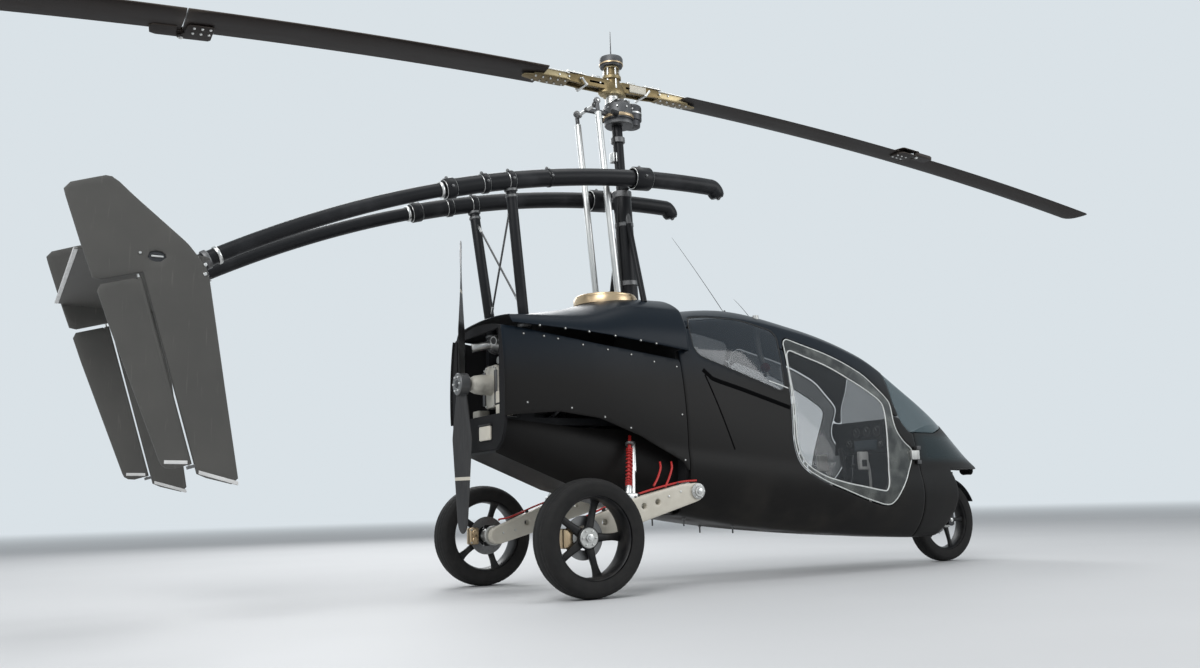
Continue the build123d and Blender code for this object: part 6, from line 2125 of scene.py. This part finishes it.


# Trim: screws, painted seam lines, hinges and aerials

COWL_SCREWS = ((-587, 1401), (-440, 1384), (-274, 1355), (-108, 1341), (-3, 1318), (-740, 1420))
PANEL_SCREWS = ((-617, 1365), (-466, 1338), (-310, 1318), (-157, 1297), (-5, 1263), (-358, 938), (-195, 880),
                (-700, 1376), (150, 1240), (150, 960), (150, 700), (-820, 1384), (-560, 985), (-820, 1010))
# Lines painted on the side: the two dark ones are painted shadow in the seams' grooves, the last, pale one a
# painted highlight. Each row: points, half width, half height, lift and finish.
PAINTED_SEAMS = ((((339, 1231), (378, 1198), (417, 1173), (600, 1124), (800, 1068), (974, 1019)), 14, 1.6, 0.2, 0),
         (((348, 1201), (400, 1060), (452, 915), (508, 760)), 5, 1.2, 0.2, 0),
         (((838, 1183), (915, 1163), (990, 1142)), 4, 1.8, 0.8, 1))
HINGE_AT = (2092, 342)


class GYRO_OT_trim(bpy.types.Operator):
    """Screws, seam lines of painted shadow and painted highlight, hull hinges, jack pad, aerials and belly
    rods
    """
    bl_idname = "gyro.trim"
    bl_label = "Trim"

    def execute(self, context):
        part = Shape()
        for places, surface in ((PANEL_SCREWS, ()), (COWL_SCREWS, (cowl_skin, 0.0))):
            point, out = side_of_skin(*np.transpose(places), 1, *surface)
            studs(part, point + out * 0.4, out, 9, 1.6, 16, 1)
            studs(part, point + out * 1.4, out, 4.5, 3, 12)
        make_piece("panel_screws", Shape().pair(part), "airframe", "silver", "cast_silver seal_rubber")
        part = Shape()
        # Strips of painted groove shadow and painted highlight laid on the side
        for places, half_width, half_height, lift, k in PAINTED_SEAMS:
            point, out = side_of_skin(*smooth_path(places, 60).T, 1)
            hose(part, point + out * lift, half_height, out, 10, k, flat=half_width / half_height)
        make_piece("painted_seam_lines", Shape().pair(part), "airframe", "inner_black", "groove_black pale_seal")
        x, y = HINGE_AT
        part = bar(Shape(), (x, y, 670), (x, y, 790), 5, 16, 1)
        for low, high in ((670, 696), (764, 790)):
            bar(part, (x, y, low), (x, y, high), 10, 24, 1.5)
            brick(part, (x, 290, low), (2125, y, high), 3)
        pad = ((0, 0), (0, 35), (18, 35), (22, 31), (24, 28), (24, 0))
        shape = lathe(Shape(), (980, 0, 302), -UP, pad, 32, 1).pair(part)
        make_piece("hull_hinges", shape, "airframe", "silver", "dark_steel seal_rubber")
        shape = Shape()
        s = np.linspace(0, 1, 16)[:, None]
        for x, tip, radius in ((800, (412, 0, 2125), 2.2), (1020, (880, 0, 1760), 2.0)):
            foot = skin(np.array(float(x)), np.array(1.0))[2]
            path = np.array((x, 0, foot - 3)) * (1 - s) + np.array(tip) * s + UP * s * (1 - s) * 30
            hose(shape, path, radius * (1 - 0.5 * s[:, 0]), sides=10)
            lathe(shape, (x, 0, foot - 4), UP, ((0, 0), (0, 20), (6, 19), (16, 8), (24, 5), (24, 0)), 24)
        part = Shape()
        for x in (296, 652):
            floor = skin(np.array(float(x)), np.array(0.06))[2]
            bar(part, (x, 170, floor + 20), (x, 170, floor - 46), 5, 12)
            lathe(part, (x, 170, floor - 2), -UP, ((0, 0), (0, 12), (5, 11), (7, 6), (7, 0)), 16)
        make_piece("aerials", shape.pair(part), "airframe", "dark_metal", "dark_steel")
        return {"FINISHED"}


# The stage

CAMERA_AT = (-3.288, -5.349, 0.468)
CAMERA_HEADING = math.radians(-30.49)
CAMERA_TILT = math.radians(99.2)
CAMERA_ROLL = math.radians(-1.68)
LENS = 31.485


class GYRO_OT_stage(bpy.types.Operator):
    """Pale floor, soft lamps and the camera"""
    bl_idname = "gyro.stage"
    bl_label = "Stage"

    def execute(self, context):
        sizes = context.scene.gyro_car
        floor = Shape()
        radius = np.concatenate(((0,), np.geomspace(2000, 90000, 10)))
        angle = np.linspace(0, 2 * math.pi, 72, endpoint=False)
        floor.grid(np.stack((radius[:, None] * np.cos(angle), radius[:, None] * np.sin(angle),
                             np.zeros((len(radius), len(angle)))), -1), close_v=True)
        mesh_piece = make_stage("floor", floor, floor_finish(sizes.backdrop))
        for name, place, aim, size, power in (("key", (-7.5, -6.5, 8.5), (0, 0, 1.2), 5.0, 560),
                                              ("fill", (6.5, -8.0, 4.5), (0.6, 0, 1.0), 5.0, 260),
                                              ("rim", (1.5, 8.5, 6.5), (0, 0, 1.4), 5.0, 400),
                                              ("low", (-9.0, -1.5, 5.0), (0, 0, 0.9), 5.0, 160),
                                              ("top", (0.5, 0.0, 9.0), (0.5, 0, 0), 6.0, 240)):
            lamp = bpy.data.lights.new(name, "AREA")
            lamp.size = size
            lamp.energy = power * sizes.lamp_strength
            made = bpy.data.objects.new(name, lamp)
            made.location = place
            made.rotation_euler = (Vector(aim) - Vector(place)).to_track_quat("-Z", "Y").to_euler()
            context.scene.collection.objects.link(made)
        make_world(context.scene, sizes.backdrop)
        view = bpy.data.cameras.new("camera")
        view.lens = LENS
        view.clip_end = 300
        made = bpy.data.objects.new("camera", view)
        turn = (Matrix.Rotation(CAMERA_HEADING, 4, "Z") @ Matrix.Rotation(CAMERA_TILT, 4, "X")
                @ Matrix.Rotation(CAMERA_ROLL, 4, "Z"))
        made.matrix_world = Matrix.Translation(CAMERA_AT) @ turn
        context.scene.collection.objects.link(made)
        context.scene.camera = made
        context.scene.view_settings.view_transform = "Standard"
        return {"FINISHED"}


def make_stage(name, shape, material):
    mesh = bpy.data.meshes.new(name)
    mesh.from_pydata(np.concatenate(shape.points) * MM, (), np.concatenate(shape.quads).tolist())
    mesh.materials.append(material)
    made = bpy.data.objects.new(name, mesh)
    bpy.context.scene.collection.objects.link(made)
    return made


def floor_finish(backdrop):
    """Pale floor that melts into the backdrop far off, where the camera or a reflection sees it."""
    f = Finish("pale_floor")
    colour = f.colours(f.cloud(0.6, 4), (0.60, 0.61, 0.62), (0.66, 0.67, 0.68))
    ground = f.node("BsdfPrincipled", {}, {"Base Color": colour, "Roughness": 0.7})
    far = f.node("VectorMath", {"operation": "LENGTH"}, {0: f.place()}, output="Value").above(9, 42)
    seen = f.node("Emission", {}, {"Color": (*backdrop, 1), "Strength": 1.0})
    f.node("OutputMaterial", {}, {"Surface": f.node("MixShader", {}, {0: far, 1: ground, 2: seen})})
    return f.material


def make_world(scene, backdrop):
    """Soft light all round, with the backdrop's colour where the camera, gloss or glass sees it."""
    world = bpy.data.worlds.new("backdrop")
    world.use_nodes = True
    f = Finish.__new__(Finish)
    f.material, f.tree = None, world.node_tree
    f.tree.nodes.clear()
    seen = f.node("LightPath", output="Is Camera Ray")
    for kind in ("Is Glossy Ray", "Is Transmission Ray"):
        seen = seen.math("MAXIMUM", seen, f.node("LightPath", output=kind))
    light = f.node("Background", {}, {"Color": (0.86, 0.9, 0.94, 1), "Strength": 0.36})
    shown = f.node("Background", {}, {"Color": (*backdrop, 1), "Strength": 1.0})
    f.node("OutputWorld", {}, {"Surface": f.node("MixShader", {}, {0: seen, 1: light, 2: shown})})
    scene.world = world


class GyroCarSizes(bpy.types.PropertyGroup):
    """Sizes and colours that a user would change"""
    backdrop: bpy.props.FloatVectorProperty(
        name="Backdrop", description="Colour of the wall and sky behind the car", subtype="COLOR", size=3,
        default=(0.70, 0.76, 0.80), min=0, max=1)
    tread_depth: bpy.props.FloatProperty(
        name="Tread Depth", description="Depth of the tyres' grooves", unit="LENGTH", default=0.003,
        min=0, max=0.008)
    lamp_strength: bpy.props.FloatProperty(
        name="Lamps", description="Strength of all lamps together", default=1.0, min=0, max=10)


OPERATORS = (GYRO_OT_body, GYRO_OT_glass, GYRO_OT_doors, GYRO_OT_cowl, GYRO_OT_engine_panels, GYRO_OT_wheels,
             GYRO_OT_booms, GYRO_OT_mast, GYRO_OT_rotor, GYRO_OT_hub, GYRO_OT_tail, GYRO_OT_arms,
             GYRO_OT_frame_parts, GYRO_OT_engine, GYRO_OT_bay_fittings, GYRO_OT_propeller,
             GYRO_OT_fork_fittings, GYRO_OT_seats, GYRO_OT_belts, GYRO_OT_controls, GYRO_OT_trim,
             GYRO_OT_stage)


class GYRO_PT_panel(bpy.types.Panel):
    """The car's groups of pieces, one button each"""
    bl_idname = "GYRO_PT_panel"
    bl_label = "Gyro Car"
    bl_space_type = "VIEW_3D"
    bl_region_type = "UI"
    bl_category = "Gyro Car"

    def draw(self, context):
        for name in GyroCarSizes.__annotations__:
            self.layout.prop(context.scene.gyro_car, name)
        for operator in OPERATORS:
            self.layout.operator(operator.bl_idname)


def register():
    for kind in (GyroCarSizes, *OPERATORS, GYRO_PT_panel):
        bpy.utils.register_class(kind)
    bpy.types.Scene.gyro_car = bpy.props.PointerProperty(type=GyroCarSizes)


def unregister():
    del bpy.types.Scene.gyro_car
    for kind in reversed((GyroCarSizes, *OPERATORS, GYRO_PT_panel)):
        bpy.utils.unregister_class(kind)


def main():
    register()
    for operator in OPERATORS:
        group, name = operator.bl_idname.split(".")
        getattr(getattr(bpy.ops, group), name)()


if __name__ == "__main__":
    main()
